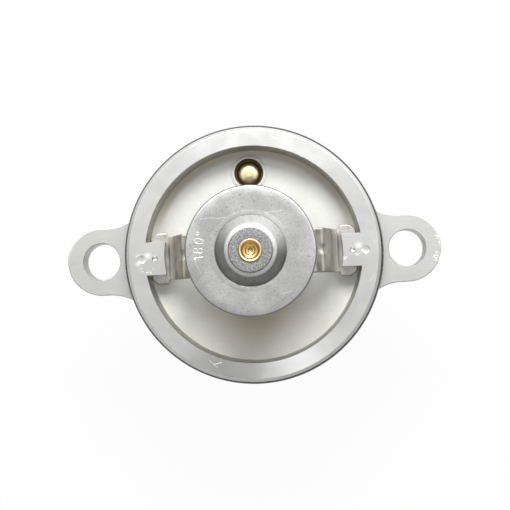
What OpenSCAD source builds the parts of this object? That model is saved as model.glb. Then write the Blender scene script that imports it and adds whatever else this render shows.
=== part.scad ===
// Engine thermostat built into its cast water outlet cover.
// The cover's mounting face is the plane z = 0, the engine side is +Z and the hose neck points down.
// The ears lie along X. All sizes are in millimetres.

/* [Cover] */
// Distance between the two bolt holes
bolt_spacing = 72.2; // [70:0.2:76]
// Diameter of each bolt hole
bolt_hole_d = 8.7; // [8.4:0.1:9.4]
// Radius of the round end of each ear
ear_r = 8; // [7.5:0.1:9]
// Thickness of the ears
ear_t = 8.5; // [7:0.5:9]
// Diameter of the machined spigot
spigot_d = 59.2; // [58.6:0.1:59.4]
// Height of the spigot above the mounting face
spigot_h = 6.2; // [6:0.1:6.6]
// Inner diameter of the recess at the spigot face
recess_d = 50.4; // [50:0.1:50.8]
// Distance from the spigot face down to the recess floor
recess_depth = 7.5; // [7.3:0.1:7.8]

/* [Hose neck] */
// Outer diameter of the neck
neck_d = 34; // [33:0.5:35]
// Inner diameter of the neck
neck_bore_d = 28; // [27:0.5:29]
// Distance from the mounting face to the end of the neck
neck_end = 46; // [40:1:60]
// Diameter over the hose bead
bead_d = 36.4; // [35.6:0.1:37]

/* [Thermostat] */
// Height of the top of the spring bridge above the mounting face
bridge_top = 14.7; // [14.5:0.1:16]
// Width of the arms of the spring bridge
arm_w = 10.1; // [9:0.1:11]
// Diameter of the main valve plate
valve_d = 26; // [25:0.2:26]
// Diameter of the wax capsule
capsule_d = 12.4; // [12:0.1:12.8]

/* [Bypass valve] */
// Diameter of the bypass disc
bypass_d = 28.2; // [26:0.2:30]
// Height of the flat of the bypass disc above the mounting face
bypass_z = 33.4; // [33:0.1:36]
// Height of the hat in the middle of the bypass disc
hat_h = 2.3; // [2.1:0.1:2.6]
// Diameter of the plated washer
washer_d = 9.5; // [8:0.1:10]

/* [Jiggle valve] */
// Distance of the jiggle valve from the centre line
jiggle_r = 19.45; // [19:0.05:19.8]
// Direction of the jiggle valve, measured from +X
jiggle_angle = 91.2; // [85:0.1:95]
// Diameter of the brass head
jiggle_head_d = 5.8; // [5.2:0.1:6]

/* [Hidden] */
$fn = 96;
eps = 0.01;

// Cover: spigot, seal groove and ears
spigot_r = spigot_d / 2;
spigot_chamfer = 0.7;
groove_low = 1.3;
groove_high = 4.6;
groove_r = 27.2;
seal_cord_r = 1.5;
undercut_r = 30.5;
undercut_depth = 0.5;
body_r = 28.1;
ear_x = bolt_spacing / 2;
ear_fillet_r = 11.6;
ear_fillet_x = sqrt(pow(body_r + ear_fillet_r, 2) - pow(ear_r + ear_fillet_r, 2));

// Cover: recess, partition and valve seat
recess_r = recess_d / 2;
floor_z = spigot_h - recess_depth;
floor_r = recess_r - 0.45;
floor_fillet = 0.4;
partition_t = 3.2;
partition_z = floor_z - partition_t;
seat_z = -0.6;
seat_hole_r = 11.6;
seat_outer_r = 13.6;

// Cover: bell and neck
bell_centre_r = 13.9;
bell_centre_z = -10;
bell_outer_r = 12;
bell_inner_r = 8.7;
neck_r = neck_d / 2;
neck_bore_r = neck_bore_d / 2;
neck_fillet_r = 3;
neck_fillet_x = neck_r + neck_fillet_r;
neck_fillet_drop = sqrt(pow(bell_outer_r + neck_fillet_r, 2) - pow(neck_fillet_x - bell_centre_r, 2));
bell_end_angle = atan2(neck_fillet_drop, neck_fillet_x - bell_centre_r);
bead_r = bead_d / 2;
bead_low = 2;
bead_high = 4.4;

// Cover: tabs that hold the bridge, and their two staking marks
tab_w = 7.65;
tab_t = 2.8;
tab_inner_r = 20.7;
tab_chamfer = 0.7;
stake_small_x = 22.95;
stake_small_r = 0.65;
stake_large_x = 26;
stake_large_r = 1;
stake_depth = 0.4;

// Cover: cross bar and socket for the piston
cross_w = 4;
cross_top = -18.5;
cross_low = -23;
socket_boss_r = 4.6;
socket_top = -15.5;
socket_floor = -19;

// Spring bridge
sheet = 1.2;
foot_top = spigot_h - tab_t;
foot_w = 12.1;
foot_inner_r = 19.5;
foot_outer_r = 24.1;
foot_corner = 1.6;
arm_low_x = 20.8;
arm_high_x = 15.8;
arm_low_r = 2.6;
arm_high_r = 1.8;
bridge_ring_r = 11.6;
bridge_hole_r = 6.9;
bridge_collar_r = 8;
bridge_collar_h = 1.3;

// Thermostat element
plate_t = 1;
plate_low = seat_z + 0.5;
plate_r = valve_d / 2;
hub_lift = 0.7;
seal_r = plate_r + 0.5;
guide_r = 5.2;
nozzle_r = 4.3;
nozzle_end = -13;
piston_r = 2;
slip = 0.06;
piston_top = -3;
guide_flange_low = 2.4;
guide_flange_high = 4;
guide_flange_r = 7;
cup_skirt_r = 7.7;
cup_wall = 0.9;
cup_top = 25;
cup_r = capsule_d / 2;
diaphragm_t = 0.8;
stem_r = 1.9;
stem_rim_r = 2.36;
stem_collar_r = 3;

// Springs
main_wire_r = 0.75;
main_turns = 3.25;
bypass_wire_r = 0.45;
bypass_turns = 5;

// Bypass disc
disc_sheet = 0.8;
disc_edge_r = 1.1;
disc_skirt = 1.1;
hat_base_r = 7.84;
hat_top_r = 4.95;
hat_shoulder_r = 1.8;
hat_flank_angle = 44;
washer_t = 0.9;
hat_top_z = bypass_z + hat_h;

// Jiggle valve
jiggle_boss_r = 4.4;
jiggle_boss_h = 0.4;
jiggle_pocket_r = 3.35;
jiggle_pocket_depth = 2;
jiggle_hole_r = 1.6;
jiggle_shank_r = 1.1;
jiggle_collar_r = 2.3;
jiggle_travel = 1;
jiggle_boss_top = floor_z + jiggle_boss_h;
jiggle_seat_z = jiggle_boss_top - jiggle_pocket_depth;
jiggle_head_h = 1.9;

// Points of an arc, from one angle to another
function arc(cx, cy, r, from, to, steps = 8) =
    [for (i = [0 : steps]) let (a = from + (to - from) * i / steps) [cx + r * cos(a), cy + r * sin(a)]];

// Height of a spring's wire along its turns: flat end coils and an even pitch between them
function wire_rise(t, turns, ends = 0.75) =
    t < ends ? 0 : t > turns - ends ? 1 : (t - ends) / (turns - 2 * ends);

// A coil spring as one swept tube
module coil(low_z, high_z, low_r, high_r, wire_r, turns, sides = 10, steps = 28) {
    rings = round(turns * steps);
    points = [for (i = [0 : rings]) let (
            t = turns * i / rings,
            mean_r = low_r + (high_r - low_r) * t / turns,
            z = low_z + wire_r + (high_z - low_z - 2 * wire_r) * wire_rise(t, turns))
        for (j = [0 : sides - 1]) let (
            a = 360 * j / sides,
            r = mean_r + wire_r * cos(a))
        [r * cos(360 * t), r * sin(360 * t), z + wire_r * sin(a)]];
    walls = [for (i = [0 : rings - 1], j = [0 : sides - 1]) let (k = (j + 1) % sides)
        [i * sides + j, i * sides + k, (i + 1) * sides + k, (i + 1) * sides + j]];
    low_end = [for (j = [sides - 1 : -1 : 0]) j];
    high_end = [for (j = [0 : sides - 1]) rings * sides + j];
    polyhedron(points, concat([low_end], walls, [high_end]), convexity = 10);
}

// Outline of the cover turned about the centre line: spigot, bell and neck outside, then neck, bell, seat and recess inside
module cover_body() {
    neck_fillet_z = bell_centre_z - neck_fillet_drop;
    rotate_extrude() polygon(concat(
        [
            [recess_r, spigot_h],
            [spigot_r - spigot_chamfer, spigot_h],
            [spigot_r, spigot_h - spigot_chamfer],
            [spigot_r, groove_high],
            [groove_r, groove_high],
            [groove_r, groove_low],
            [spigot_r, groove_low],
            [spigot_r, 0],
            [body_r, 0],
            [body_r, -ear_t + 1],
            [body_r - 1, -ear_t],
            [bell_centre_r + bell_outer_r + 0.6, -ear_t]
        ],
        arc(bell_centre_r, bell_centre_z, bell_outer_r, 0, -bell_end_angle, 10),
        arc(neck_fillet_x, neck_fillet_z, neck_fillet_r, 180 - bell_end_angle, 180, 5),
        [
            [neck_r, -neck_end + bead_high + 1],
            [bead_r, -neck_end + bead_high],
            [bead_r, -neck_end + bead_low],
            [neck_r, -neck_end],
            [neck_bore_r + 0.5, -neck_end],
            [neck_bore_r, -neck_end + 0.5]
        ],
        arc(bell_centre_r, bell_centre_z, bell_inner_r, -acos((neck_bore_r - bell_centre_r) / bell_inner_r), 0, 8),
        [
            [bell_centre_r + bell_inner_r, partition_z],
            [seat_hole_r, partition_z],
            [seat_hole_r, seat_z - 0.3],
            [seat_hole_r + 0.3, seat_z],
            [seat_outer_r - 0.3, seat_z],
            [seat_outer_r, seat_z - 0.3],
            [seat_outer_r + 0.2, floor_z],
            [floor_r - floor_fillet, floor_z],
            [floor_r, floor_z + floor_fillet]
        ]
    ));
}

// One mounting ear with its two concave fillets, on the +X side
module ear() {
    tangent = body_r / (body_r + ear_fillet_r);
    translate([0, 0, -ear_t]) {
        translate([ear_x, 0, 0]) cylinder(h = ear_t, r = ear_r);
        translate([body_r - 4, -ear_r, 0]) cube([ear_x - body_r + 4, 2 * ear_r, ear_t]);
        for (side = [-1, 1]) difference() {
            linear_extrude(ear_t) polygon([
                [body_r - 4, side * (ear_r - 1)],
                [ear_fillet_x, side * (ear_r - 1)],
                [ear_fillet_x, side * (ear_r + ear_fillet_r)],
                [ear_fillet_x * tangent, side * (ear_r + ear_fillet_r) * tangent]
            ]);
            translate([ear_fillet_x, side * (ear_r + ear_fillet_r), -1])
                cylinder(h = ear_t + 2, r = ear_fillet_r);
        }
    }
}

// One inward tab of the spigot, on the +X side. The chamfer clears the bend of the bridge.
module tab() {
    low = spigot_h - tab_t;
    difference() {
        translate([tab_inner_r - 2, -tab_w / 2, low]) cube([recess_r - tab_inner_r + 2.5, tab_w, tab_t]);
        translate([0, 0, low - 1]) cylinder(h = tab_t + 2, r = tab_inner_r);
        translate([0, 0, low - 1])
            cylinder(h = tab_chamfer + 1, r1 = tab_inner_r + tab_chamfer + 1, r2 = tab_inner_r);
    }
}

// The two punch marks that stake one tab, on the +X side
module stake_marks() {
    for (mark = [[stake_small_x, stake_small_r], [stake_large_x, stake_large_r]])
        translate([mark[0], 0, spigot_h - stake_depth])
            cylinder(h = stake_depth + eps, r1 = mark[1] * 0.35, r2 = mark[1]);
}

module at_jiggle() {
    rotate([0, 0, jiggle_angle]) translate([jiggle_r, 0, 0]) children();
}

// Cross bar in the neck with the socket that holds the end of the piston
module piston_bridge() {
    embed = 1.5;
    translate([-neck_bore_r - embed, -cross_w / 2, cross_low])
        cube([2 * (neck_bore_r + embed), cross_w, cross_top - cross_low]);
    translate([0, 0, cross_low - 1]) cylinder(h = 1, r1 = socket_boss_r - 1, r2 = socket_boss_r);
    translate([0, 0, cross_low]) cylinder(h = socket_top - cross_low, r = socket_boss_r);
}

// Groove at the root of the spigot, so that the ears lie flat on the engine
module spigot_undercut() {
    translate([0, 0, -undercut_depth]) difference() {
        cylinder(h = undercut_depth + eps, r = undercut_r);
        translate([0, 0, -1]) cylinder(h = undercut_depth + 2, r = spigot_r);
    }
}

module housing() {
    color("silver") difference() {
        union() {
            cover_body();
            for (turn = [0, 180]) rotate([0, 0, turn]) {
                difference() {
                    ear();
                    translate([0, 0, -ear_t - 1]) cylinder(h = ear_t + 2, r = body_r - 1);
                }
                tab();
            }
            at_jiggle() translate([0, 0, floor_z - 1]) cylinder(h = jiggle_boss_h + 1, r = jiggle_boss_r);
            piston_bridge();
        }
        for (side = [-1, 1]) translate([side * ear_x, 0, -ear_t - 1])
            cylinder(h = ear_t + 2, d = bolt_hole_d);
        spigot_undercut();
        for (turn = [0, 180]) rotate([0, 0, turn]) stake_marks();
        at_jiggle() {
            translate([0, 0, jiggle_seat_z]) cylinder(h = jiggle_pocket_depth + 1, r = jiggle_pocket_r);
            translate([0, 0, partition_z - 1]) cylinder(h = partition_t + 2, r = jiggle_hole_r);
        }
        translate([0, 0, socket_floor]) cylinder(h = socket_top - socket_floor + 1, r = piston_r + slip);
    }
}

// Rubber ring in the groove of the spigot
module flange_seal() {
    color([0.12, 0.13, 0.14]) rotate_extrude()
        translate([groove_r + seal_cord_r + 0.02, (groove_low + groove_high) / 2]) circle(r = seal_cord_r, $fn = 32);
}

// Outline of one arm of the bridge seen from the side: foot, rise and top, as a bent strip on the +X side.
// The bends' radii are those of its upper face.
module arm_side() {
    low_z = foot_top + arm_low_r;
    high_z = bridge_top - arm_high_r;
    run = arm_low_x - arm_high_x;
    climb = high_z - low_z;
    rise = acos(-(arm_low_r + arm_high_r) / norm([run, climb])) - atan2(run, climb);
    polygon(concat(
        [[foot_outer_r, foot_top]],
        arc(arm_low_x, low_z, arm_low_r, 270, 270 - rise, 8),
        arc(arm_high_x, high_z, arm_high_r, 90 - rise, 90, 7),
        [[bridge_ring_r - 2, bridge_top], [bridge_ring_r - 2, bridge_top - sheet]],
        arc(arm_high_x, high_z, arm_high_r - sheet, 90, 90 - rise, 5),
        arc(arm_low_x, low_z, arm_low_r + sheet, 270 - rise, 270, 8),
        [[foot_outer_r, foot_top - sheet]]
    ));
}

// Foot plate of the bridge: two wings beside the arm, with the outer corners cut off
module foot_plan() {
    half = foot_w / 2;
    polygon([
        [foot_inner_r, -half],
        [foot_outer_r - 2 * foot_corner, -half],
        [foot_outer_r - 1.2 * foot_corner, -half + 0.5 * foot_corner],
        [foot_outer_r - foot_corner, -half + foot_corner],
        [foot_outer_r + 1, -half + 1.25 * foot_corner],
        [foot_outer_r + 1, half - 1.25 * foot_corner],
        [foot_outer_r - foot_corner, half - foot_corner],
        [foot_outer_r - 1.2 * foot_corner, half - 0.5 * foot_corner],
        [foot_outer_r - 2 * foot_corner, half],
        [foot_inner_r, half],
        [foot_inner_r + 1, arm_w / 2],
        [foot_outer_r - 2, arm_w / 2],
        [foot_outer_r - 2, -arm_w / 2],
        [foot_inner_r + 1, -arm_w / 2]
    ]);
}

module bridge_strap() {
    color("lightgray") difference() {
        union() {
            translate([0, 0, bridge_top - sheet]) cylinder(h = sheet, r = bridge_ring_r);
            translate([0, 0, bridge_top - eps]) cylinder(h = bridge_collar_h + eps, r = bridge_collar_r);
            for (turn = [0, 180]) rotate([0, 0, turn]) {
                rotate([90, 0, 0]) translate([0, 0, -arm_w / 2]) linear_extrude(arm_w) arm_side();
                intersection() {
                    translate([0, 0, foot_top - sheet]) linear_extrude(sheet) foot_plan();
                    translate([0, 0, foot_top - sheet]) cylinder(h = sheet, r = foot_outer_r);
                }
            }
        }
        translate([0, 0, bridge_top - sheet - 1]) cylinder(h = sheet + bridge_collar_h + 2, r = bridge_hole_r);
        for (turn = [0, 180]) rotate([0, 0, turn]) difference() {
            translate([foot_outer_r, -foot_w, foot_top - sheet - 1]) cube([5, 2 * foot_w, 5]);
            translate([0, 0, foot_top - sheet - 2]) cylinder(h = 8, r = foot_outer_r);
        }
    }
}

module main_spring() {
    color([0.55, 0.56, 0.58]) coil(
        plate_low + plate_t + 0.02, bridge_top - sheet - 0.02,
        11.3, 9.3, main_wire_r, main_turns
    );
}

// Pressed plate of the main valve: raised hub, sloping web and flat rim
module main_valve() {
    hub_z = plate_low + hub_lift;
    color("silver") rotate_extrude() polygon([
        [guide_r + 0.05, hub_z],
        [9, hub_z],
        [9.8, plate_low],
        [plate_r, plate_low],
        [plate_r, plate_low + plate_t],
        [10.2, plate_low + plate_t],
        [9.4, hub_z + plate_t],
        [guide_r + 0.05, hub_z + plate_t]
    ]);
}

// Rubber lip moulded round the rim of the main valve
module valve_seal() {
    color([0.1, 0.1, 0.1]) rotate_extrude() polygon([
        [plate_r - 1.8, plate_low],
        [plate_r - 1.5, seat_z],
        [seal_r - 0.3, seat_z],
        [seal_r, seat_z + 0.3],
        [seal_r, plate_low + plate_t + 0.1],
        [seal_r - 0.3, plate_low + plate_t + 0.4],
        [plate_r - 0.6, plate_low + plate_t + 0.4],
        [plate_r - 0.6, plate_low + plate_t],
        [plate_r, plate_low + plate_t],
        [plate_r, plate_low]
    ]);
}

// Push ring that locks the main valve plate on the guide
module valve_retainer() {
    hub_z = plate_low + hub_lift;
    color("silver") rotate_extrude() polygon([
        [guide_r + 0.05, hub_z - 1],
        [guide_r + 1.2, hub_z - 1],
        [guide_r + 1.6, hub_z - 0.6],
        [guide_r + 1.6, hub_z],
        [guide_r + 0.05, hub_z]
    ]);
}

// Brass cup that holds the wax, with its skirt crimped under the flange of the guide
module element_cup() {
    bore = cup_r - cup_wall;
    color([0.72, 0.53, 0.3]) rotate_extrude() polygon(concat(
        [
            [guide_r + 0.15, guide_flange_low],
            [guide_r + 0.15, guide_flange_low - 0.8],
            [cup_skirt_r - 0.5, guide_flange_low - 0.8],
            [cup_skirt_r, guide_flange_low - 0.3],
            [cup_skirt_r, guide_flange_high + 1],
            [cup_skirt_r - 0.4, guide_flange_high + 1.6],
            [cup_r, guide_flange_high + 2.2]
        ],
        arc(cup_r - 1, cup_top - 1, 1, 0, 90, 5),
        [
            [stem_r + 0.01, cup_top],
            [stem_r + 0.01, cup_top - 1.2],
            [bore - 0.6, cup_top - 1.2],
            [bore, cup_top - 1.8],
            [bore, guide_flange_high + diaphragm_t],
            [guide_flange_r, guide_flange_high + diaphragm_t],
            [guide_flange_r, guide_flange_low]
        ]
    ));
}

// Brass guide: a nozzle that slides on the piston, a step for the valve and a flange inside the cup
module element_guide() {
    bore = piston_r + slip;
    color([0.78, 0.6, 0.32]) rotate_extrude() polygon([
        [bore, nozzle_end],
        [nozzle_r - 0.8, nozzle_end],
        [nozzle_r, nozzle_end + 0.8],
        [nozzle_r, plate_low + hub_lift - 1],
        [guide_r, plate_low + hub_lift - 1],
        [guide_r, guide_flange_low],
        [guide_flange_r - 0.02, guide_flange_low],
        [guide_flange_r - 0.02, guide_flange_high],
        [bore + 2.3, guide_flange_high],
        [bore, guide_flange_high - 1.8]
    ]);
}

// Rubber membrane between the wax and the piston, clamped at its rim
module diaphragm() {
    bore = piston_r + slip;
    color([0.16, 0.16, 0.17]) rotate_extrude() polygon([
        [0, guide_flange_high - 1.75],
        [bore, guide_flange_high - 1.75],
        [bore + 2.2, guide_flange_high],
        [guide_flange_r - 0.02, guide_flange_high],
        [guide_flange_r - 0.02, guide_flange_high + diaphragm_t],
        [0, guide_flange_high + diaphragm_t]
    ]);
}

// Wax that swells as it melts and drives the capsule up the piston
module wax_charge() {
    bore = cup_r - cup_wall - 0.02;
    low = guide_flange_high + diaphragm_t + 0.02;
    high = cup_top - 1.25;
    color([0.85, 0.8, 0.6]) rotate_extrude() polygon([
        [0, low],
        [bore, low],
        [bore, high - 0.6],
        [bore - 0.6, high],
        [0, high]
    ]);
}

module rubber_plug() {
    washer_top = piston_top + 0.8;
    color([0.2, 0.2, 0.21]) translate([0, 0, washer_top])
        cylinder(h = guide_flange_high - 1.85 - washer_top, r = piston_r);
}

module anti_extrusion_washer() {
    color([0.93, 0.93, 0.9]) translate([0, 0, piston_top]) cylinder(h = 0.8, r = piston_r);
}

// Steel pin that stands in the socket of the cover and stays still while the capsule moves
module piston() {
    color([0.75, 0.76, 0.78]) rotate_extrude() polygon([
        [0, socket_floor],
        [piston_r - 0.6, socket_floor],
        [piston_r, socket_floor + 0.8],
        [piston_r, piston_top],
        [0, piston_top]
    ]);
}

// Brass pin in the end of the cup. Its drilled end is flared over the washer.
module bypass_stem() {
    rim_z = hat_top_z + washer_t;
    color([0.9, 0.68, 0.25]) rotate_extrude() polygon([
        [0, cup_top - 1.2],
        [stem_r, cup_top - 1.2],
        [stem_r, cup_top],
        [stem_collar_r, cup_top],
        [stem_collar_r, cup_top + 1],
        [stem_r, cup_top + 1.2],
        [stem_r, rim_z],
        [stem_rim_r, rim_z],
        [stem_rim_r, rim_z + 0.35],
        [stem_rim_r - 0.25, rim_z + 0.6],
        [1.85, rim_z + 0.45],
        [1.6, rim_z - 0.1],
        [1.15, rim_z - 0.15],
        [0.95, rim_z - 0.6],
        [0.55, rim_z - 0.65],
        [0.4, rim_z - 0.9],
        [0, rim_z - 1]
    ]);
}

// Plated washer that keeps the bypass disc on its pin
module bypass_washer() {
    color([0.6, 0.62, 0.65]) rotate_extrude() polygon([
        [stem_r + 0.02, hat_top_z],
        [washer_d / 2, hat_top_z],
        [washer_d / 2, hat_top_z + washer_t - 0.1],
        [washer_d / 2 - 0.1, hat_top_z + washer_t],
        [stem_r + 0.02, hat_top_z + washer_t]
    ]);
}

// Pressed bypass disc: a hat round the pin, a flat face and a rim turned down at the edge
module bypass_valve() {
    r = bypass_d / 2;
    flat_r = r - disc_edge_r;
    shoulder_z = hat_top_z - hat_shoulder_r;
    color([0.8, 0.8, 0.8]) rotate_extrude() polygon(concat(
        [[stem_r + 0.08, hat_top_z - disc_sheet], [stem_r + 0.08, hat_top_z]],
        arc(hat_top_r, shoulder_z, hat_shoulder_r, 90, 90 - hat_flank_angle, 6),
        [[hat_base_r, bypass_z + 0.2], [hat_base_r + 1, bypass_z]],
        arc(flat_r, bypass_z - disc_edge_r, disc_edge_r, 90, 0, 7),
        [[r, bypass_z - disc_edge_r - disc_skirt], [r - disc_sheet, bypass_z - disc_edge_r - disc_skirt]],
        arc(flat_r, bypass_z - disc_edge_r, disc_edge_r - disc_sheet, 0, 90, 5),
        [[hat_base_r - 0.12, bypass_z - disc_sheet]],
        arc(hat_top_r, shoulder_z, hat_shoulder_r - disc_sheet, 90 - hat_flank_angle, 90, 5)
    ));
}

module bypass_spring() {
    color([0.6, 0.6, 0.62]) coil(
        cup_top + 0.02, hat_top_z - disc_sheet - 0.02,
        4.3, 4.3, bypass_wire_r, bypass_turns, 8, 24
    );
}

// Loose brass pin that lets air past while there is no flow
module jiggle_pin() {
    head_r = jiggle_head_d / 2;
    low = partition_z - jiggle_travel - 1;
    color([0.8, 0.66, 0.32]) at_jiggle() rotate_extrude() polygon(concat(
        [
            [0, low],
            [jiggle_shank_r, low],
            [jiggle_shank_r, jiggle_seat_z],
            [head_r - 0.3, jiggle_seat_z],
            [head_r, jiggle_seat_z + 0.4]
        ],
        arc(head_r - 0.9, jiggle_seat_z + jiggle_head_h - 0.9, 0.9, 0, 80, 6),
        [[0, jiggle_seat_z + jiggle_head_h + 0.1]]
    ));
}

// Collar peened on the lower end of the pin
module jiggle_collar() {
    color([0.75, 0.6, 0.3]) at_jiggle() translate([0, 0, partition_z - jiggle_travel - 1]) difference() {
        cylinder(h = 1, r = jiggle_collar_r);
        translate([0, 0, -1]) cylinder(h = 3, r = jiggle_shank_r);
    }
}

housing();
flange_seal();
bridge_strap();
main_spring();
main_valve();
valve_seal();
valve_retainer();
element_cup();
element_guide();
wax_charge();
diaphragm();
rubber_plug();
anti_extrusion_washer();
piston();
bypass_stem();
bypass_washer();
bypass_valve();
bypass_spring();
jiggle_pin();
jiggle_collar();
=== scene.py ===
"""Coolant outlet cover with a built-in temperature valve: fine shapes, finishes, light and camera."""
from math import acos, atan2, cos, degrees, exp, pi, radians, sin, sqrt, tan

import bmesh
import bpy
from bpy.props import FloatProperty, FloatVectorProperty, IntProperty, PointerProperty
from mathutils import Matrix, Vector, noise


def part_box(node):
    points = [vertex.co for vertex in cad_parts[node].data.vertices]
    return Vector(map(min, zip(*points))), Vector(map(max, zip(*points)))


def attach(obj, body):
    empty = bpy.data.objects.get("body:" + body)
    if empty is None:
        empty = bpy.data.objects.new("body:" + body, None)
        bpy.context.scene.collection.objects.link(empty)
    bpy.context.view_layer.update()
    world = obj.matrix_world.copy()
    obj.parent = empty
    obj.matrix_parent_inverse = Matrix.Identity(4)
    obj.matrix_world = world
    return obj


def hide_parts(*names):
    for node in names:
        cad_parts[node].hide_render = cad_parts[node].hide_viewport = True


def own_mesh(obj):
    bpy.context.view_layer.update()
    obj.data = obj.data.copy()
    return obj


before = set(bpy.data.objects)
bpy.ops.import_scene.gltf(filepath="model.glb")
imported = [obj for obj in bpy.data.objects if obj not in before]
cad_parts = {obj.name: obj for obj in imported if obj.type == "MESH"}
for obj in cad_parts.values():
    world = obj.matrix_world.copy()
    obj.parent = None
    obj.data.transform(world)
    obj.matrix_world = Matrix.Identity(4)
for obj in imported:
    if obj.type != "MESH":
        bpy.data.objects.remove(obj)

bl_info = {
    "name": "Outlet Cover Valve",
    "version": (1, 0, 0),
    "blender": (4, 5, 0),
    "location": "View3D > Sidebar > Outlet Cover",
    "description": "Builds a cast coolant outlet cover with its wax valve, bypass disc and bleed pin",
    "category": "Object",
}

MM = 0.001

# Steps round a turned piece: the cover and disc, and small holes and pins
SEGMENTS = 240
FEW_SEGMENTS = 96


def box_mm(node):
    """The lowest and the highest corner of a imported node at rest, in millimetres."""
    low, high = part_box(node)
    return low / MM, high / MM


# Levels and radii in millimetres, taken from the frame where a node's box gives them
housing_low, housing_high = box_mm("housing")
disc_high = box_mm("bypass_valve")[1]
washer_low, washer_high = box_mm("bypass_washer")
strap_high = box_mm("bridge_strap")[1]
pin_low, pin_high = box_mm("jiggle_pin")
stem_low = box_mm("bypass_stem")[0]
collar_low, collar_high = box_mm("jiggle_collar")
FACE_Z = 6.2
NECK_END_Z = housing_low.z
SPIGOT_R = housing_high.y
EAR_R = 8.0
EAR_X = housing_high.x - EAR_R
EAR_T = 8.5
BOLT_R = 4.35
BODY_R = 28.1
EAR_FILLET_R = 11.6
RECESS_R = 25.2
FLOOR_Z = -1.3
FLOOR_R = 24.75
PARTITION_Z = -4.5
SEAT_Z = -0.6
TAB_W = 7.65
TAB_T = 2.8
TAB_INNER_R = 20.7
DISC_Z = disc_high.z - 2.3
POCKET_TOP = FLOOR_Z + 0.4
POCKET_SEAT = POCKET_TOP - 2.0
POCKET_CENTRE = ((pin_low.x + pin_high.x) / 2, (pin_low.y + pin_high.y) / 2)


class CoverSettings(bpy.types.PropertyGroup):
    """Edges, burr and colours of the cast cover"""

    edge: FloatProperty(
        name="Edge rounding", description="Radius of the cover's cast edges",
        default=0.3 * MM, min=0.05 * MM, max=0.6 * MM, unit="LENGTH", precision=5)
    face_edge: FloatProperty(
        name="Turned edge rounding", description="Radius of the edges of the turned face",
        default=0.08 * MM, min=0.02 * MM, max=0.2 * MM, unit="LENGTH", precision=5)
    burr: FloatProperty(
        name="Burr height", description="How far the burr on the recess edge stands out",
        default=0.12 * MM, min=0.0, max=0.3 * MM, unit="LENGTH", precision=5)
    cast_color: FloatVectorProperty(
        name="Cast metal", description="Colour of the cast aluminium", subtype="COLOR",
        size=3, min=0.0, max=1.0, default=(0.545, 0.55, 0.53))
    floor_color: FloatVectorProperty(
        name="Recess floor", description="Colour of the pale floor of the recess", subtype="COLOR",
        size=3, min=0.0, max=1.0, default=(0.93, 0.93, 0.895))
    turned_color: FloatVectorProperty(
        name="Turned metal", description="Colour of the turned aluminium face", subtype="COLOR",
        size=3, min=0.0, max=1.0, default=(0.645, 0.65, 0.638))


class ValveSettings(bpy.types.PropertyGroup):
    """Colours of the parts inside the cover, and the springs' fineness"""

    steel_color: FloatVectorProperty(
        name="Pressed steel", description="Colour of the bypass disc and valve plate", subtype="COLOR",
        size=3, min=0.0, max=1.0, default=(0.44, 0.44, 0.434))
    strap_color: FloatVectorProperty(
        name="Bridge", description="Colour of the polished bridge", subtype="COLOR",
        size=3, min=0.0, max=1.0, default=(0.41, 0.4, 0.375))
    zinc_color: FloatVectorProperty(
        name="Zinc", description="Colour of the plated washer", subtype="COLOR",
        size=3, min=0.0, max=1.0, default=(0.228, 0.23, 0.228))
    brass_color: FloatVectorProperty(
        name="Brass", description="Colour of the turned brass pin and the wax element", subtype="COLOR",
        size=3, min=0.0, max=1.0, default=(0.48, 0.34, 0.135))
    wire_sides: IntProperty(
        name="Wire sides", description="Number of sides of the springs' round wire",
        default=16, min=8, max=32)


class StudioSettings(bpy.types.PropertyGroup):
    """Camera place and light levels"""

    camera_place: FloatVectorProperty(
        name="Camera place", description="Where the camera stands", subtype="TRANSLATION",
        size=3, default=(7.41 * MM, -9.2 * MM, 331.5 * MM))
    aim_right: FloatProperty(
        name="Aim to the right", description="Turn of the view to the right of straight down",
        default=radians(-1.25), subtype="ANGLE")
    aim_up: FloatProperty(
        name="Aim up", description="Turn of the view towards the bleed pin", default=radians(1.581),
        subtype="ANGLE")
    roll: FloatProperty(
        name="Roll", description="Turn of the picture", default=radians(-2.666), subtype="ANGLE")
    lens: FloatProperty(
        name="Lens", description="Focal length in millimetres on a 36 mm sensor", default=99.23,
        min=20.0, max=200.0)
    key_power: FloatProperty(
        name="Key light", description="Power of the large light behind the part, in watts", default=4.8,
        min=0.0, max=50.0)
    side_power: FloatProperty(
        name="Side light", description="Power of the narrow light in front, in watts", default=0.048,
        min=0.0, max=50.0)
    sky: FloatProperty(
        name="Surrounding light", description="Strength of the light from all round", default=0.5,
        min=0.0, max=2.0)


# Outlines

def arc(cx, cy, r, start, end, steps=8):
    """Points (x, y) of a circular arc, with its angles in degrees."""
    turns = (radians(start + (end - start) * k / steps) for k in range(steps + 1))
    return [(cx + r * cos(a), cy + r * sin(a)) for a in turns]


def curve(*values):
    """The points of an arc as corners (x, y, radius) that need no rounding."""
    return [(x, y, 0) for x, y in arc(*values)]


def painted(finish, corners):
    """Adds the number of a finish to corners (x, y, radius) of an outline."""
    return [(*corner, finish) for corner in corners]


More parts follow.
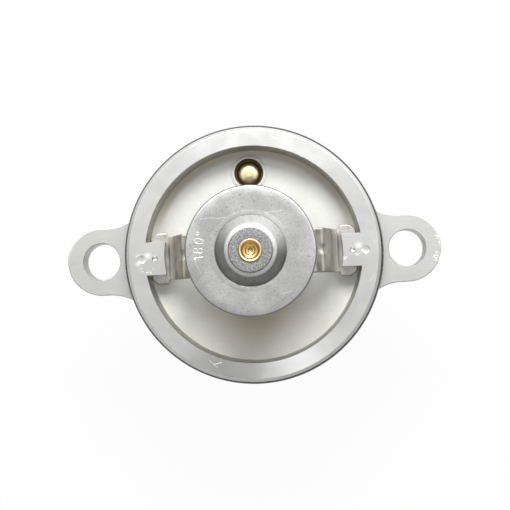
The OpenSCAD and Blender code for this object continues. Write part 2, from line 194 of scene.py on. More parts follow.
def rounded(corners, steps=4):
    """Turns corners (x, y, radius, finish) of a closed outline into points (x, y, finish), with an arc of
    its radius at each corner. A corner without a finish takes the first one."""
    outline = []
    for i, (x, y, radius, *own) in enumerate(corners):
        finish = own[0] if own else 0
        here = Vector((x, y))
        before = Vector(corners[i - 1][:2]) - here
        after = Vector(corners[(i + 1) % len(corners)][:2]) - here
        distinct = min(before.length, after.length) > 1e-9
        if radius <= 0 or not distinct or before.angle(after) > 3.1:
            outline.append((x, y, finish))
            continue
        half_angle = before.angle(after) / 2
        reach = min(radius / tan(half_angle), 0.48 * before.length, 0.48 * after.length)
        radius = reach * tan(half_angle)
        bisector = (before.normalized() + after.normalized()).normalized()
        middle = here + bisector * (radius / sin(half_angle))
        first = here + before.normalized() * reach - middle
        last = here + after.normalized() * reach - middle
        start = atan2(first.y, first.x)
        turn = atan2(last.y, last.x) - start
        turn = (turn + pi) % (2 * pi) - pi
        for k in range(steps + 1):
            a = start + turn * k / steps
            outline.append((middle.x + radius * cos(a), middle.y + radius * sin(a), finish))
    return outline


# Meshes

def new_object(name, bm, finishes):
    """Makes an object of a mesh under construction and clears that."""
    mesh = bpy.data.meshes.new(name)
    bm.to_mesh(mesh)
    bm.free()
    for finish in finishes:
        mesh.materials.append(finish)
    piece = bpy.data.objects.new(name, mesh)
    bpy.context.scene.collection.objects.link(piece)
    return piece


def turned(name, outline, finishes, segments=SEGMENTS, centre=(0.0, 0.0), shift=None):
    """Turns a closed outline of (radius, height, finish) points, in millimetres, about an upright axis.
    shift(index, angle) moves a point of the outline outwards."""
    bm = bmesh.new()
    rings = []
    for k in range(segments):
        a = 2 * pi * k / segments
        ring = []
        for i, (r, z, _) in enumerate(outline):
            wide = r + (shift(i, a) if shift else 0.0)
            place = Vector((centre[0] + wide * cos(a), centre[1] + wide * sin(a), z))
            ring.append(bm.verts.new(place * MM))
        rings.append(ring)
    for k, ring in enumerate(rings):
        following = rings[(k + 1) % segments]
        for i, (r, _, finish) in enumerate(outline):
            j = (i + 1) % len(outline)
            if r < 1e-6 and outline[j][0] < 1e-6:
                continue
            face = bm.faces.new((ring[i], ring[j], following[j], following[i]))
            face.material_index = finish
    bmesh.ops.remove_doubles(bm, verts=bm.verts, dist=1e-7)
    bmesh.ops.recalc_face_normals(bm, faces=bm.faces)
    return new_object(name, bm, finishes)


def slab(name, outline, low, high, edge, finishes, top_finish=0):
    """Gives a closed outline of (x, y) points a thickness from low to high, with rounded rims."""
    bm = bmesh.new()
    bottom = bm.faces.new([bm.verts.new(Vector((x, y, low)) * MM) for x, y in outline])
    raised = bmesh.ops.extrude_face_region(bm, geom=[bottom])["geom"]
    moved = [v for v in raised if isinstance(v, bmesh.types.BMVert)]
    bmesh.ops.translate(bm, verts=moved, vec=(0, 0, (high - low) * MM))
    bmesh.ops.recalc_face_normals(bm, faces=bm.faces)
    for face in bm.faces:
        if face.normal.z > 0.9:
            face.material_index = top_finish
    rims = [e for e in bm.edges if abs(e.verts[0].co.z - e.verts[1].co.z) < 1e-9]
    bmesh.ops.bevel(bm, geom=rims, offset=edge * MM, segments=3, profile=0.5, affect="EDGES")
    return new_object(name, bm, finishes)


def freeze(piece):
    """Turns a piece with modifiers into a plain mesh."""
    graph = bpy.context.evaluated_depsgraph_get()
    mesh = bpy.data.meshes.new_from_object(piece.evaluated_get(graph))
    piece.modifiers.clear()
    piece.data = mesh
    mesh.name = piece.name
    return piece


def combine(piece, tool, operation):
    """Runs a Boolean of a piece with a tool, and removes the tool."""
    modifier = piece.modifiers.new("combine", "BOOLEAN")
    modifier.operation = operation
    modifier.object = tool
    modifier.solver = "MANIFOLD"
    modifier.material_mode = "TRANSFER"
    freeze(piece)
    bpy.data.objects.remove(tool)


def join(piece, tool):
    combine(piece, tool, "UNION")


def cut(piece, tool):
    combine(piece, tool, "DIFFERENCE")


def smooth(piece, angle=35):
    """Shades a piece smooth, apart from edges sharper than the angle."""
    for polygon in piece.data.polygons:
        polygon.use_smooth = True
    piece.data.set_sharp_from_angle(angle=radians(angle))
    even = piece.modifiers.new("normals", "WEIGHTED_NORMAL")
    even.keep_sharp = True
    return freeze(piece)


def softened(node, width, finish):
    """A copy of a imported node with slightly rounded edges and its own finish."""
    bm = bmesh.new()
    bm.from_mesh(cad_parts[node].data)
    bmesh.ops.remove_doubles(bm, verts=bm.verts, dist=1e-7)
    bmesh.ops.dissolve_limit(bm, angle_limit=radians(0.5), verts=bm.verts, edges=bm.edges)
    for face in bm.faces:
        face.material_index = 0
    piece = new_object(node + "_finished", bm, [finish])
    modifier = piece.modifiers.new("edges", "BEVEL")
    modifier.width = width * MM
    modifier.segments = 2
    modifier.limit_method = "ANGLE"
    modifier.angle_limit = radians(35)
    freeze(piece)
    return smooth(piece)


def hand_over(piece, body, node):
    """Sets a finished piece to ride on its body and hides the node it stands for."""
    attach(piece, body)
    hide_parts(node)


# Node trees

class Nodes:
    """A node tree under construction."""

    def __init__(self, tree):
        self.tree = tree

    def set(self, node, socket, value):
        """Links a socket to a node's input, or writes a value there."""
        if isinstance(value, bpy.types.NodeSocket):
            self.tree.links.new(value, node.inputs[socket])
        else:
            node.inputs[socket].default_value = value

    def add(self, kind, inputs=(), **settings):
        """A new node with these settings, and with inputs by their name or number."""
        node = self.tree.nodes.new(kind)
        for key, value in settings.items():
            setattr(node, key, value)
        for socket, value in dict(inputs).items():
            self.set(node, socket, value)
        return node

    def math(self, operation, a, b=0.0, clamp=False):
        return self.add("ShaderNodeMath", {0: a, 1: b}, operation=operation, use_clamp=clamp).outputs[0]

    def both(self, one, two):
        """Where both of two masks are."""
        return self.math("MULTIPLY", one, two)

    def either(self, masks):
        """Where any of these masks is."""
        total = masks[0]
        for mask in masks[1:]:
            total = self.math("MAXIMUM", total, mask)
        return total

    def band(self, value, low, high, bottom=0.0, top=1.0):
        """Maps a value from low to high onto bottom to top, and stays within those."""
        inputs = {"Value": value, "From Min": low, "From Max": high, "To Min": bottom, "To Max": top}
        return self.add("ShaderNodeMapRange", inputs, interpolation_type="SMOOTHSTEP").outputs[0]

    def mix_shaders(self, factor, a, b):
        return self.add("ShaderNodeMixShader", {0: factor, 1: a, 2: b}).outputs[0]


# Finishes

def shade(color, factor):
    """A colour made lighter or darker by a factor."""
    return tuple(min(1.0, c * factor) for c in color)


class Finish(Nodes):
    """A material under construction. Its place is in millimetres in the part's own frame."""

    def __init__(self, name, base, metallic, roughness, values=()):
        self.material = bpy.data.materials.new(name)
        self.material.use_nodes = True
        super().__init__(self.material.node_tree)
        self.base = tuple(base)
        self.shader = self.tree.nodes["Principled BSDF"]
        self.set(self.shader, "Base Color", (*self.base, 1.0))
        self.set(self.shader, "Metallic", metallic)
        self.set(self.shader, "Roughness", roughness)
        for socket, value in dict(values).items():
            self.set(self.shader, socket, value)
        place = self.add("ShaderNodeTexCoord").outputs["Object"]
        scaled = self.add("ShaderNodeVectorMath", {"Vector": place, "Scale": 1.0 / MM}, operation="SCALE")
        self.place = scaled.outputs["Vector"]

    def separate(self, vector=None):
        """The three parts of a place."""
        return self.add("ShaderNodeSeparateXYZ", {0: vector or self.place}).outputs

    def moved(self, offset=(0, 0, 0), turn=0.0, scale=(1, 1, 1)):
        """The place measured from offset, turned by an angle about Z and scaled."""
        away = self.add("ShaderNodeVectorMath", {0: self.place, 1: offset}, operation="SUBTRACT")
        inputs = {"Vector": away.outputs[0], "Rotation": (0.0, 0.0, turn), "Scale": scale}
        return self.add("ShaderNodeMapping", inputs).outputs[0]

    def distance(self, x=0.0, y=0.0):
        """Distance from an upright axis through a point."""
        across = self.separate(self.moved((x, y, 0)))
        squares = [self.math("MULTIPLY", across[i], across[i]) for i in range(2)]
        return self.math("SQRT", self.math("ADD", *squares))

    def noise(self, scale, detail=2.0, roughness=0.5, vector=None, distortion=0.0):
        inputs = {"Vector": vector or self.place, "Scale": scale, "Detail": detail,
                  "Roughness": roughness, "Distortion": distortion}
        return self.add("ShaderNodeTexNoise", inputs).outputs[0]

    def rings(self, scale, detail=3.0, centre=(0.0, 0.0)):
        """Noise that depends only on the distance from an upright axis."""
        inputs = {"W": self.distance(*centre), "Scale": scale, "Detail": detail}
        return self.add("ShaderNodeTexNoise", inputs, noise_dimensions="1D").outputs[0]

    def scratch(self, start, end, width):
        """A mask along a straight scratch between two (x, y) points, wavering a little and fading out."""
        fade = 0.25
        run = Vector(end) - Vector(start)
        middle = (Vector(start) + Vector(end)) / 2
        along, across, _ = self.separate(self.moved((middle.x, middle.y, 0), -atan2(run.y, run.x)))
        waver = self.math("MULTIPLY", self.math("SUBTRACT", self.noise(0.9), 0.5), 0.5)
        off = self.math("ABSOLUTE", self.math("ADD", across, waver))
        line = self.band(off, 0.0, width, 1.0, 0.0)
        ends = self.band(self.math("ABSOLUTE", along), run.length / 2 - fade, run.length / 2, 1.0, 0.0)
        return self.both(line, ends)

    def scratches(self, width, lines):
        """Scratches of one width, each from a point to another."""
        return self.either([self.scratch(start, end, width) for start, end in lines])

    def spot(self, x, y, radius):
        """A mask that fades from 1 at a point to 0 at a radius."""
        return self.band(self.distance(x, y), 0.0, radius, 1.0, 0.0)

    def spots(self, places):
        """Spots, each with its (x, y, radius)."""
        return self.either([self.spot(*place) for place in places])

    def mix(self, factor, a, b, blend="MIX"):
        a, b = (tone if isinstance(tone, bpy.types.NodeSocket) else (*tone, 1.0) for tone in (a, b))
        inputs = {"Factor": factor, 6: a, 7: b}
        return self.add("ShaderNodeMix", inputs, data_type="RGBA", blend_type=blend).outputs[2]

    def clouds(self, mask, dark, bright, low=0.3, high=0.7):
        """The base colour, darker by a factor where a mask is low and brighter where it is high."""
        return self.mix(self.band(mask, low, high), shade(self.base, dark), shade(self.base, bright))

    def over(self, tone, mask, low, high, amount, factor):
        """A tone with a shade of the base colour over it, up to an amount, where a mask is high."""
        return self.mix(self.band(mask, low, high, 0.0, amount), tone, shade(self.base, factor))

    def bump(self, height, depth, strength):
        """Relief from a height of 0 to 1, with its depth in millimetres."""
        node = self.add("ShaderNodeBump", {"Height": height, "Distance": depth * MM, "Strength": strength})
        previous = self.shader.inputs["Normal"]
        if previous.is_linked:
            self.set(node, "Normal", previous.links[0].from_socket)
        self.set(self.shader, "Normal", node.outputs[0])

    def color(self, value):
        self.set(self.shader, "Base Color", value)

    def roughness(self, mask, smooth, rough):
        """Roughness between two values, smooth where a mask is low."""
        self.set(self.shader, "Roughness", self.band(mask, 0.3, 0.7, smooth, rough))


# Small marks, in millimetres: smears, flecks and nicks as (x, y, radius), scratches as their two ends
SMEARS = (
    (24.3, 0.9, 1.3), (23.9, -1.2, 0.6), (21.0, -1.9, 0.7), (-24.6, 0.7, 1.3), (-26.9, -1.0, 0.9),
    (-24.1, -3.2, 0.5),
)
FLECKS = (
    (-26.3, -2.6, 1.0), (-24.9, -3.1, 0.9), (-23.4, -2.3, 0.5), (28.2, 1.6, 0.8), (21.6, -1.4, 0.6),
    (-26.9, 0.7, 0.9), (24.7, 0.9, 0.9), (24.5, -0.9, 0.8), (-24.3, 0.6, 0.9),
)
EAR_NICKS = ((43.7, 2.4, 1.3), (43.2, -2.6, 1.6), (43.9, 0.6, 0.7))
FACE_SCRATCHES = (
    ((-11.6, -23.9), (-9.4, -25.9)), ((-10.6, -25.2), (-8.3, -24.6)), ((-17.2, -19.5), (-16.4, -20.0)),
    ((-27.4, -9.0), (-26.5, -11.6)), ((4.8, 27.2), (6.9, 26.4)), ((26.1, -8.0), (27.3, -6.6)),
)
FLOOR_SCORES = (
    ((8.4, 14.6), (10.6, 16.0)), ((14.2, 10.0), (15.0, 11.4)), ((13.4, -12.6), (14.9, -11.8)),
)
DISC_SCRATCHES = (((-10.6, 7.3), (-4.8, 7.2)), ((3.4, 7.95), (7.5, 8.25)))
FINE_DISC_SCRATCHES = (((-11.9, -1.5), (-11.0, -3.9)), ((6.1, -9.6), (8.6, -8.9)))


def turned_aluminium(settings):
    """Fine turning marks with a gloss that follows them, faint stains, nicks and pale smears."""
    finish = Finish("turned_aluminium", settings.turned_color, metallic=1.0, roughness=0.18, values={
        "Anisotropic": 0.9, "Anisotropic Rotation": 0.25})
    tangent = finish.add("ShaderNodeTangent", direction_type="RADIAL", axis="Z")
    finish.set(finish.shader, "Tangent", tangent.outputs[0])
    lines = finish.rings(4.0, detail=2.0)
    cloud = finish.noise(0.16)
    stains = finish.noise(0.45, detail=3.0, distortion=0.6)
    tone = finish.clouds(cloud, dark=0.96, bright=1.04, low=0.35, high=0.65)
    tone = finish.mix(finish.band(stains, 0.55, 0.75, 0.0, 0.35), tone, (0.72, 0.66, 0.66))
    tone = finish.over(tone, lines, 0.35, 0.65, amount=0.07, factor=0.8)
    marks = finish.math("MULTIPLY", finish.scratches(0.09, FACE_SCRATCHES), 0.9)
    grit = finish.band(finish.noise(2.6, detail=3.0), 0.5, 0.62)
    worn = finish.either([marks, finish.both(finish.spots(FLECKS), grit)])
    tone = finish.mix(worn, tone, (0.72, 0.72, 0.71))
    finish.color(finish.mix(finish.spots(SMEARS), tone, (0.98, 0.98, 0.97)))
    clean = finish.band(cloud, 0.3, 0.7, 0.17, 0.185)
    rough = finish.math("ADD", clean, finish.math("MULTIPLY", worn, 0.2))
    finish.set(finish.shader, "Roughness", rough)
    finish.bump(lines, 0.002, 0.5)
    finish.bump(worn, 0.03, 0.6)
    return finish.material


def cast_aluminium(settings):
    """The grainy skin of the casting."""
    finish = Finish("cast_aluminium", settings.cast_color, metallic=1.0, roughness=0.5)
    grain = finish.noise(2.4, detail=4.0, roughness=0.65)
    cloud = finish.noise(0.12, detail=3.0)
    tone = finish.clouds(cloud, dark=0.94, bright=1.05)
    finish.color(finish.over(tone, grain, 0.52, 0.75, amount=0.25, factor=0.75))
    finish.roughness(cloud, 0.46, 0.58)
    finish.bump(grain, 0.05, 0.5)
    finish.bump(finish.noise(0.6), 0.1, 0.4)
    return finish.material


def milled_aluminium(settings):
    """Faces of the ears, with straight milling marks and nicks at the end of one ear."""
    finish = Finish("milled_aluminium", shade(settings.cast_color, 0.76), metallic=1.0, roughness=0.44)
    strokes = finish.noise(1.0, detail=3.0, vector=finish.moved(turn=0.35, scale=(0.25, 4.0, 1.0)))
    cloud = finish.noise(0.1)
    speckle = finish.noise(2.6, detail=3.0, roughness=0.6)
    tone = finish.clouds(cloud, dark=0.96, bright=1.03)
    tone = finish.over(tone, speckle, 0.5, 0.75, amount=0.16, factor=0.75)
    chips = finish.band(finish.noise(1.9, detail=3.0), 0.47, 0.56)
    chipped = finish.both(finish.spots(EAR_NICKS), chips)
    finish.color(finish.mix(chipped, tone, (0.93, 0.93, 0.92)))
    finish.roughness(strokes, 0.41, 0.47)
    finish.bump(strokes, 0.004, 0.5)
    finish.bump(finish.noise(3.0, detail=3.0), 0.012, 0.5)
    finish.bump(chipped, 0.08, 0.8)
    return finish.material


def floor_aluminium(settings):
    """Pale floor of the recess, with a painted warm shadow below the disc and painted wall shade on the far
    side.
    """
    finish = Finish("floor_aluminium", settings.floor_color, metallic=0.15, roughness=0.62)
    grain = finish.noise(2.5, detail=3.0, roughness=0.6)
    cloud = finish.noise(0.2, detail=3.0)
    tone = finish.clouds(cloud, dark=0.96, bright=1.03)
    tone = finish.over(tone, grain, 0.48, 0.72, amount=0.3, factor=0.8)
    # Painted shadow: a warm dark spot where the disc's shadow falls on the floor.
    tone = finish.mix(finish.spot(0.0, -12.0, 16.0), tone, (0.43, 0.375, 0.27))
    # Painted shade: a darker band beside the wall on the bleed pin's side, where the wall's shadow falls.
    wall_shade_band = finish.band(finish.distance(), 22.3, 23.8)
    wall_shade_side = finish.band(finish.separate()[1], 4.0, 14.0)
    finish.color(finish.mix(finish.both(wall_shade_band, wall_shade_side), tone, (0.66, 0.62, 0.56)))
    finish.bump(grain, 0.03, 0.5)
    finish.bump(finish.scratches(0.1, FLOOR_SCORES), 0.06, -0.6)
    return finish.material


def wall_aluminium(settings):
    """Wall of the recess and sides of the tabs, with painted shade: darker and warmer than the cast skin,
    near black in the bleed pocket.
    """
    # Painted shade: the wall colour is the cast colour darkened and warmed.
    painted_shade_tint = (0.79, 0.775, 0.72)
    color = [tint * part for tint, part in zip(painted_shade_tint, settings.cast_color)]
    finish = Finish("wall_aluminium", color, metallic=1.0, roughness=0.5)
    finish.bump(finish.noise(3.0, detail=4.0, vector=finish.moved(scale=(1, 1, 4.0))), 0.03, 0.6)
    tone = finish.clouds(finish.noise(0.8, detail=3.0), dark=0.85, bright=1.08)
    # Painted shade: the bleed pocket turns near black brown.
    pocket = finish.band(finish.distance(*POCKET_CENTRE), 3.4, 3.65, 1.0, 0.0)
    finish.color(finish.mix(pocket, tone, (0.13, 0.1, 0.055)))
    return finish.material


def pressed_steel(settings):
    """Speckled and pitted sheet, with a darker band along the disc's rim and scratches on the disc."""
    finish = Finish("pressed_steel", settings.steel_color, metallic=1.0, roughness=0.36)
    cloud = finish.noise(0.22, detail=4.0, roughness=0.6)
    fine = finish.noise(2.7, detail=3.0, roughness=0.75)
    tone = finish.clouds(cloud, dark=0.93, bright=1.05)
    tone = finish.over(tone, fine, 0.44, 0.68, amount=0.5, factor=0.6)
    holes = finish.noise(2.1, detail=3.0, roughness=0.7, distortion=0.8)
    patches = finish.band(finish.noise(0.35), 0.38, 0.55, 0.3, 1.0)
    pits = finish.both(finish.band(holes, 0.58, 0.63), patches)
    dull = shade(finish.base, 0.3)
    tone = finish.mix(finish.math("MULTIPLY", pits, 0.5), tone, dull)
    # A darker band just inside the disc's rim.
    edge = finish.band(finish.distance(), disc_high.x - 0.32, disc_high.x - 0.1, 0.0, 0.8)
    on_disc = finish.band(finish.separate()[2], 25.0, 26.0)
    tone = finish.mix(finish.both(edge, on_disc), tone, dull)
    scratches = finish.either([
        finish.scratches(0.07, DISC_SCRATCHES), finish.scratches(0.05, FINE_DISC_SCRATCHES)])
    finish.color(finish.mix(scratches, tone, (0.86, 0.86, 0.85)))
    finish.roughness(cloud, 0.29, 0.36)
    finish.bump(fine, 0.012, 0.5)
    finish.bump(finish.either([pits, scratches]), 0.03, -0.5)
    return finish.material


def stamped_steel(settings):
    """The bright bottom of the punched marks."""
    finish = Finish("stamped_steel", shade(settings.steel_color, 1.3), metallic=1.0, roughness=0.4)
    worn = finish.noise(2.5, detail=3.0)
    finish.color(finish.over(finish.base, worn, 0.45, 0.7, amount=0.6, factor=0.7))
    finish.bump(worn, 0.02, 0.4)
    return finish.material


def bridge_steel(settings):
    """Brushed sheet with painted shade above the feet, darker and warmer, and on the lower half of each arm
    a dull, blotchy coat with a painted highlight along the low bend.
    """
    finish = Finish("bridge_steel", settings.strap_color, metallic=1.0, roughness=0.42)
    cloud = finish.noise(0.5)
    brushed = finish.noise(1.4, vector=finish.moved(scale=(1.6, 0.25, 0.6)))
    tone = finish.clouds(cloud, dark=0.85, bright=1.08)
    tone = finish.over(tone, brushed, 0.45, 0.75, amount=0.35, factor=0.72)
    across, _, height = finish.separate()
    across = finish.math("ABSOLUTE", across)
    # Painted shade: darker and warmer above the feet, where the arms rise under the disc.
    tone = finish.mix(finish.band(height, 3.6, 4.6), tone, (0.76, 0.745, 0.69), "MULTIPLY")
    film_and_bend_highlight = finish.both(finish.band(across, 15.9, 17.8), finish.band(across, 19.3, 19.8, 1.0, 0.0))
    blots = finish.band(finish.noise(0.55), 0.4, 0.6, 0.35, 1.0)
    film_and_bend_highlight = finish.both(film_and_bend_highlight, finish.either([blots, finish.band(across, 17.8, 18.6)]))
    # Painted highlight: the coat's tone turns pale towards the low bend, while away from it the coat is
    # darker and blotchy.
    film_and_highlight_tone = finish.mix(finish.band(across, 18.0, 19.0), (0.41, 0.38, 0.32), (0.8, 0.78, 0.73))
    finish.color(finish.mix(film_and_bend_highlight, tone, film_and_highlight_tone))
    finish.set(finish.shader, "Metallic", finish.band(film_and_bend_highlight, 0.0, 1.0, 1.0, 0.2))
    finish.roughness(cloud, 0.38, 0.46)
    finish.bump(finish.noise(1.2), 0.02, 0.4)
    return finish.material


def plated_steel(settings):
    """Grey, coarse zinc plating."""
    finish = Finish("plated_steel", settings.zinc_color, metallic=0.85, roughness=0.5)
    speckle = finish.noise(3.0, detail=3.0, roughness=0.8)
    blots = finish.noise(1.2, detail=3.0, roughness=0.6)
    tone = finish.clouds(speckle, dark=0.5, bright=1.42, low=0.36, high=0.64)
    finish.color(finish.over(tone, blots, 0.5, 0.7, amount=0.4, factor=0.72))
    finish.roughness(speckle, 0.42, 0.6)
    finish.bump(speckle, 0.03, 0.6)
    return finish.material


def turned_brass(settings):
    """Brass with turning marks, and a painted highlight on the rim of the pin's flare."""
    finish = Finish("turned_brass", settings.brass_color, metallic=1.0, roughness=0.2)
    lines = finish.rings(5.0)
    cloud = finish.noise(0.8, detail=3.0)
    tone = finish.clouds(cloud, dark=0.86, bright=1.08)
    tone = finish.over(tone, lines, 0.4, 0.7, amount=0.3, factor=0.7)
    # Painted highlight: a pale ring on the rim of the flare.
    edge = finish.band(finish.distance(), 2.0, 2.18)
    on_flare = finish.band(finish.separate()[2], 36.0, 36.5)
    finish.color(finish.mix(finish.both(edge, on_flare), tone, (0.64, 0.52, 0.3)))
    finish.roughness(cloud, 0.22, 0.3)
    finish.bump(lines, 0.008, 0.4)
    return finish.material


def pale_brass():
    """The bleed pin's brighter brass."""
    finish = Finish("pale_brass", (0.72, 0.635, 0.39), metallic=1.0, roughness=0.34)
    lines = finish.rings(3.0, centre=POCKET_CENTRE)
    finish.color(finish.clouds(finish.noise(1.2, detail=3.0), dark=0.88, bright=1.08))
    finish.roughness(lines, 0.3, 0.38)
    finish.bump(lines, 0.01, 0.4)
    return finish.material


def spring_wire():
    """Dark drawn wire."""
    finish = Finish("spring_wire", (0.42, 0.42, 0.41), metallic=1.0, roughness=0.32)
    finish.color(finish.clouds(finish.noise(0.9, detail=3.0), dark=0.8, bright=1.15))
    finish.bump(finish.noise(6.0, detail=3.0), 0.02, 0.4)
    return finish.material


def seal_rubber():
    """Black rubber with a faint bloom."""
    gloss = {"Specular IOR Level": 0.6}
    finish = Finish("seal_rubber", (0.02, 0.021, 0.023), metallic=0.0, roughness=0.3, values=gloss)
    bloom = finish.noise(0.5, detail=3.0)
    finish.color(finish.clouds(bloom, dark=1.0, bright=2.0, low=0.4, high=0.7))
    finish.roughness(bloom, 0.26, 0.36)
    finish.bump(finish.noise(3.0, detail=3.0), 0.01, 0.4)
    return finish.material


def ground_steel():
    """Steel ground along its length."""
    finish = Finish("ground_steel", (0.6, 0.6, 0.61), metallic=1.0, roughness=0.18)
    lines = finish.noise(1.5, detail=3.0, vector=finish.moved(scale=(0.4, 0.4, 6.0)))
    finish.roughness(lines, 0.14, 0.26)
    finish.bump(lines, 0.004, 0.5)
    return finish.material


def soft_solid(name, color, roughness):
    """Wax and plastic: a soft gloss with faint clouding."""
    gloss = {"Specular IOR Level": 0.4}
    finish = Finish(name, color, metallic=0.0, roughness=roughness, values=gloss)
    finish.color(finish.clouds(finish.noise(0.7, detail=3.0), dark=0.92, bright=1.04))
    finish.bump(finish.noise(3.0, detail=3.0), 0.03, 0.4)
    return finish.material


def dress(node, finish):
    """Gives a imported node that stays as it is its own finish."""
    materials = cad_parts[node].data.materials
    materials.clear()
    materials.append(finish)


# Cover

TURNED, CAST, FLOOR, WALL = range(4)

# Stake marks of each tab, as (x, radius, depth)
STAKES = ((22.95, 0.66, 0.42), (25.95, 0.98, 0.09))


def cover_outline(edge, face_edge):
    """Closed outline of the cover's turned shape: spigot and neck outside, bore, seat and recess inside."""
    bell_x, bell_z, bell_r, bell_in = 13.9, -10.0, 12.0, 8.7
    neck_r, bore_r, fillet = 17.0, 14.0, 3.0
    drop = sqrt((bell_r + fillet) ** 2 - (neck_r + fillet - bell_x) ** 2)
    turn = degrees(atan2(drop, neck_r + fillet - bell_x))
    inner_end = degrees(atan2(-sqrt(bell_in ** 2 - (bore_r - bell_x) ** 2), bore_r - bell_x))
    bead_r, bead_low, bead_high = 18.2, 2.0, 4.4
    seat_in, seat_out = 11.6, 13.6
    groove_r, groove_low, groove_high = 27.2, 1.3, 4.6
    face_chamfer, bore_chamfer, seat_chamfer = 0.7, 0.5, 0.3
    root_z = -0.05
    corners = painted(TURNED, [
        (RECESS_R, FACE_Z, face_edge),
        (SPIGOT_R - face_chamfer, FACE_Z, face_edge),
        (SPIGOT_R, FACE_Z - face_chamfer, face_edge),
        (SPIGOT_R, groove_high, face_edge),
        (groove_r, groove_high, 0.2),
        (groove_r, groove_low, 0.2),
        (SPIGOT_R, groove_low, face_edge),
        (SPIGOT_R, root_z, face_edge),
    ])
    corners += painted(CAST, [
        (BODY_R, root_z, 0),
        (BODY_R, -EAR_T + 0.6, 0.8),
        (bell_x + bell_r + 0.4, -EAR_T, 0.8),
        *curve(bell_x, bell_z, bell_r, 0, -turn, 14),
        *curve(neck_r + fillet, bell_z - drop, fillet, 180 - turn, 180, 7)[1:],
        (neck_r, NECK_END_Z + bead_high + 1, 0.8),
        (bead_r, NECK_END_Z + bead_high, 0.7),
        (bead_r, NECK_END_Z + bead_low, 0.7),
    ])
    corners += painted(TURNED, [
        (neck_r, NECK_END_Z, edge),
        (bore_r + bore_chamfer, NECK_END_Z, face_edge),
    ])
    corners += painted(CAST, [
        (bore_r, NECK_END_Z + bore_chamfer, face_edge),
        *curve(bell_x, bell_z, bell_in, inner_end, 0, 12),
        (bell_x + bell_in, PARTITION_Z, 1.2),
    ])
    corners += painted(TURNED, [
        (seat_in, PARTITION_Z, edge),
        (seat_in, SEAT_Z - seat_chamfer, face_edge),
        (seat_in + seat_chamfer, SEAT_Z, face_edge),
        (seat_out - seat_chamfer, SEAT_Z, face_edge),
        (seat_out, SEAT_Z - seat_chamfer, face_edge),
    ])
    corners += painted(FLOOR, [(seat_out + 0.2, FLOOR_Z, 0.2), (FLOOR_R, FLOOR_Z, 0.18)])
    corners += painted(WALL, [(FLOOR_R + 0.02, FLOOR_Z + 0.3, 0)])
    return rounded(corners)


def burr_shift(outline, height):
    """Raggedness of the recess edge, strongest where the tool left it, at the upper right."""
    edge_points = [i for i, (r, z, _) in enumerate(outline) if z > FACE_Z - 0.1 and r < RECESS_R + 0.1]
    least = 0.018

    def shift(i, a):
        if i not in edge_points:
            return 0.0
        rough = noise.noise(Vector((cos(a) * 30, sin(a) * 30, 0.5)))
        fine = noise.noise(Vector((cos(a) * 75, sin(a) * 75, 4.5)))
        strong = exp(-((degrees(a) - 70) / 14) ** 2) + 0.35 * exp(-((degrees(a) - 20) / 12) ** 2)
        return -(least + height * strong) * abs(rough + 0.6 * fine)

    return shift


def ear_outline(steps=40):
    """Outline of the +X ear: two concave fillets, straight sides and a round end."""
    overlap = 1.5
    fillet_x = sqrt((BODY_R + EAR_FILLET_R) ** 2 - (EAR_R + EAR_FILLET_R) ** 2)
    fillet_y = EAR_R + EAR_FILLET_R
    touch = degrees(atan2(fillet_y, fillet_x))
    upper = arc(fillet_x, fillet_y, EAR_FILLET_R, 180 + touch, 270, 12)
    end = arc(EAR_X, 0, EAR_R, 90, -90, steps)
    lower = [(x, -y) for x, y in reversed(upper)]
    return upper + end + lower + arc(0, 0, BODY_R - overlap, -touch, touch, 12)


def nicked(outline):
    """Small dents in the round end of the ear, each with its angle, width and depth."""
    dents = ((17.0, 3.0, 0.16), (-19.0, 4.5, 0.2), (6.0, 1.6, 0.1))
    result = []
    for x, y in outline:
        if x > EAR_X + 1:
            a = degrees(atan2(y, x - EAR_X))
            dent = sum(depth * exp(-((a - where) / wide) ** 2) for where, wide, depth in dents)
            share = 1 - dent / EAR_R
            x, y = EAR_X + share * (x - EAR_X), share * y
        result.append((x, y))
    return result


def tab_outline():
    """Outline of the +X tab, with its slightly hollow inner end."""
    half = TAB_W / 2
    root_x = RECESS_R + 1.8
    reach = sqrt(TAB_INNER_R ** 2 - half ** 2)
    corners = [(root_x, -half, 0), (root_x, half, 0), (reach, half, 0.25)]
    for k in range(1, 8):
        y = half * (1 - k / 4)
        corners.append((sqrt(TAB_INNER_R ** 2 - y ** 2), y, 0))
    corners.append((reach, -half, 0.25))
    return [(x, y) for x, y, _ in rounded(corners, 3)]


def mirrored(outline, side):
    """The outline as it is for the +X side, and turned half round for the -X side."""
    return [(side * x, side * y) for x, y in outline]


def stake_lip(x, radius):
    """Metal pushed up round a punch mark."""
    top = FACE_Z + 0.01
    corners = [
        (0, FACE_Z - 0.5, 0), (radius + 0.2, FACE_Z - 0.5, 0), (radius + 0.18, FACE_Z - 0.01, 0.05),
        (radius + 0.08, top, 0.1), (0, top, 0)]
    return turned("lip", rounded(corners, 3), [], segments=32, centre=(x, 0.0))


def stake_tool(x, radius, depth):
    """A rounded punch that dents the tab."""
    top = FACE_Z + 0.6
    corners = [(0, top, 0), (radius + 0.12, top, 0), (radius, FACE_Z, 0.05)]
    corners += [(radius * cos(radians(a)), FACE_Z - depth * sin(radians(a)), 0) for a in (18, 36, 54, 72)]
    corners.append((0, FACE_Z - depth, 0))
    return turned("punch", rounded(corners, 2), [], segments=32, centre=(x, 0.0))


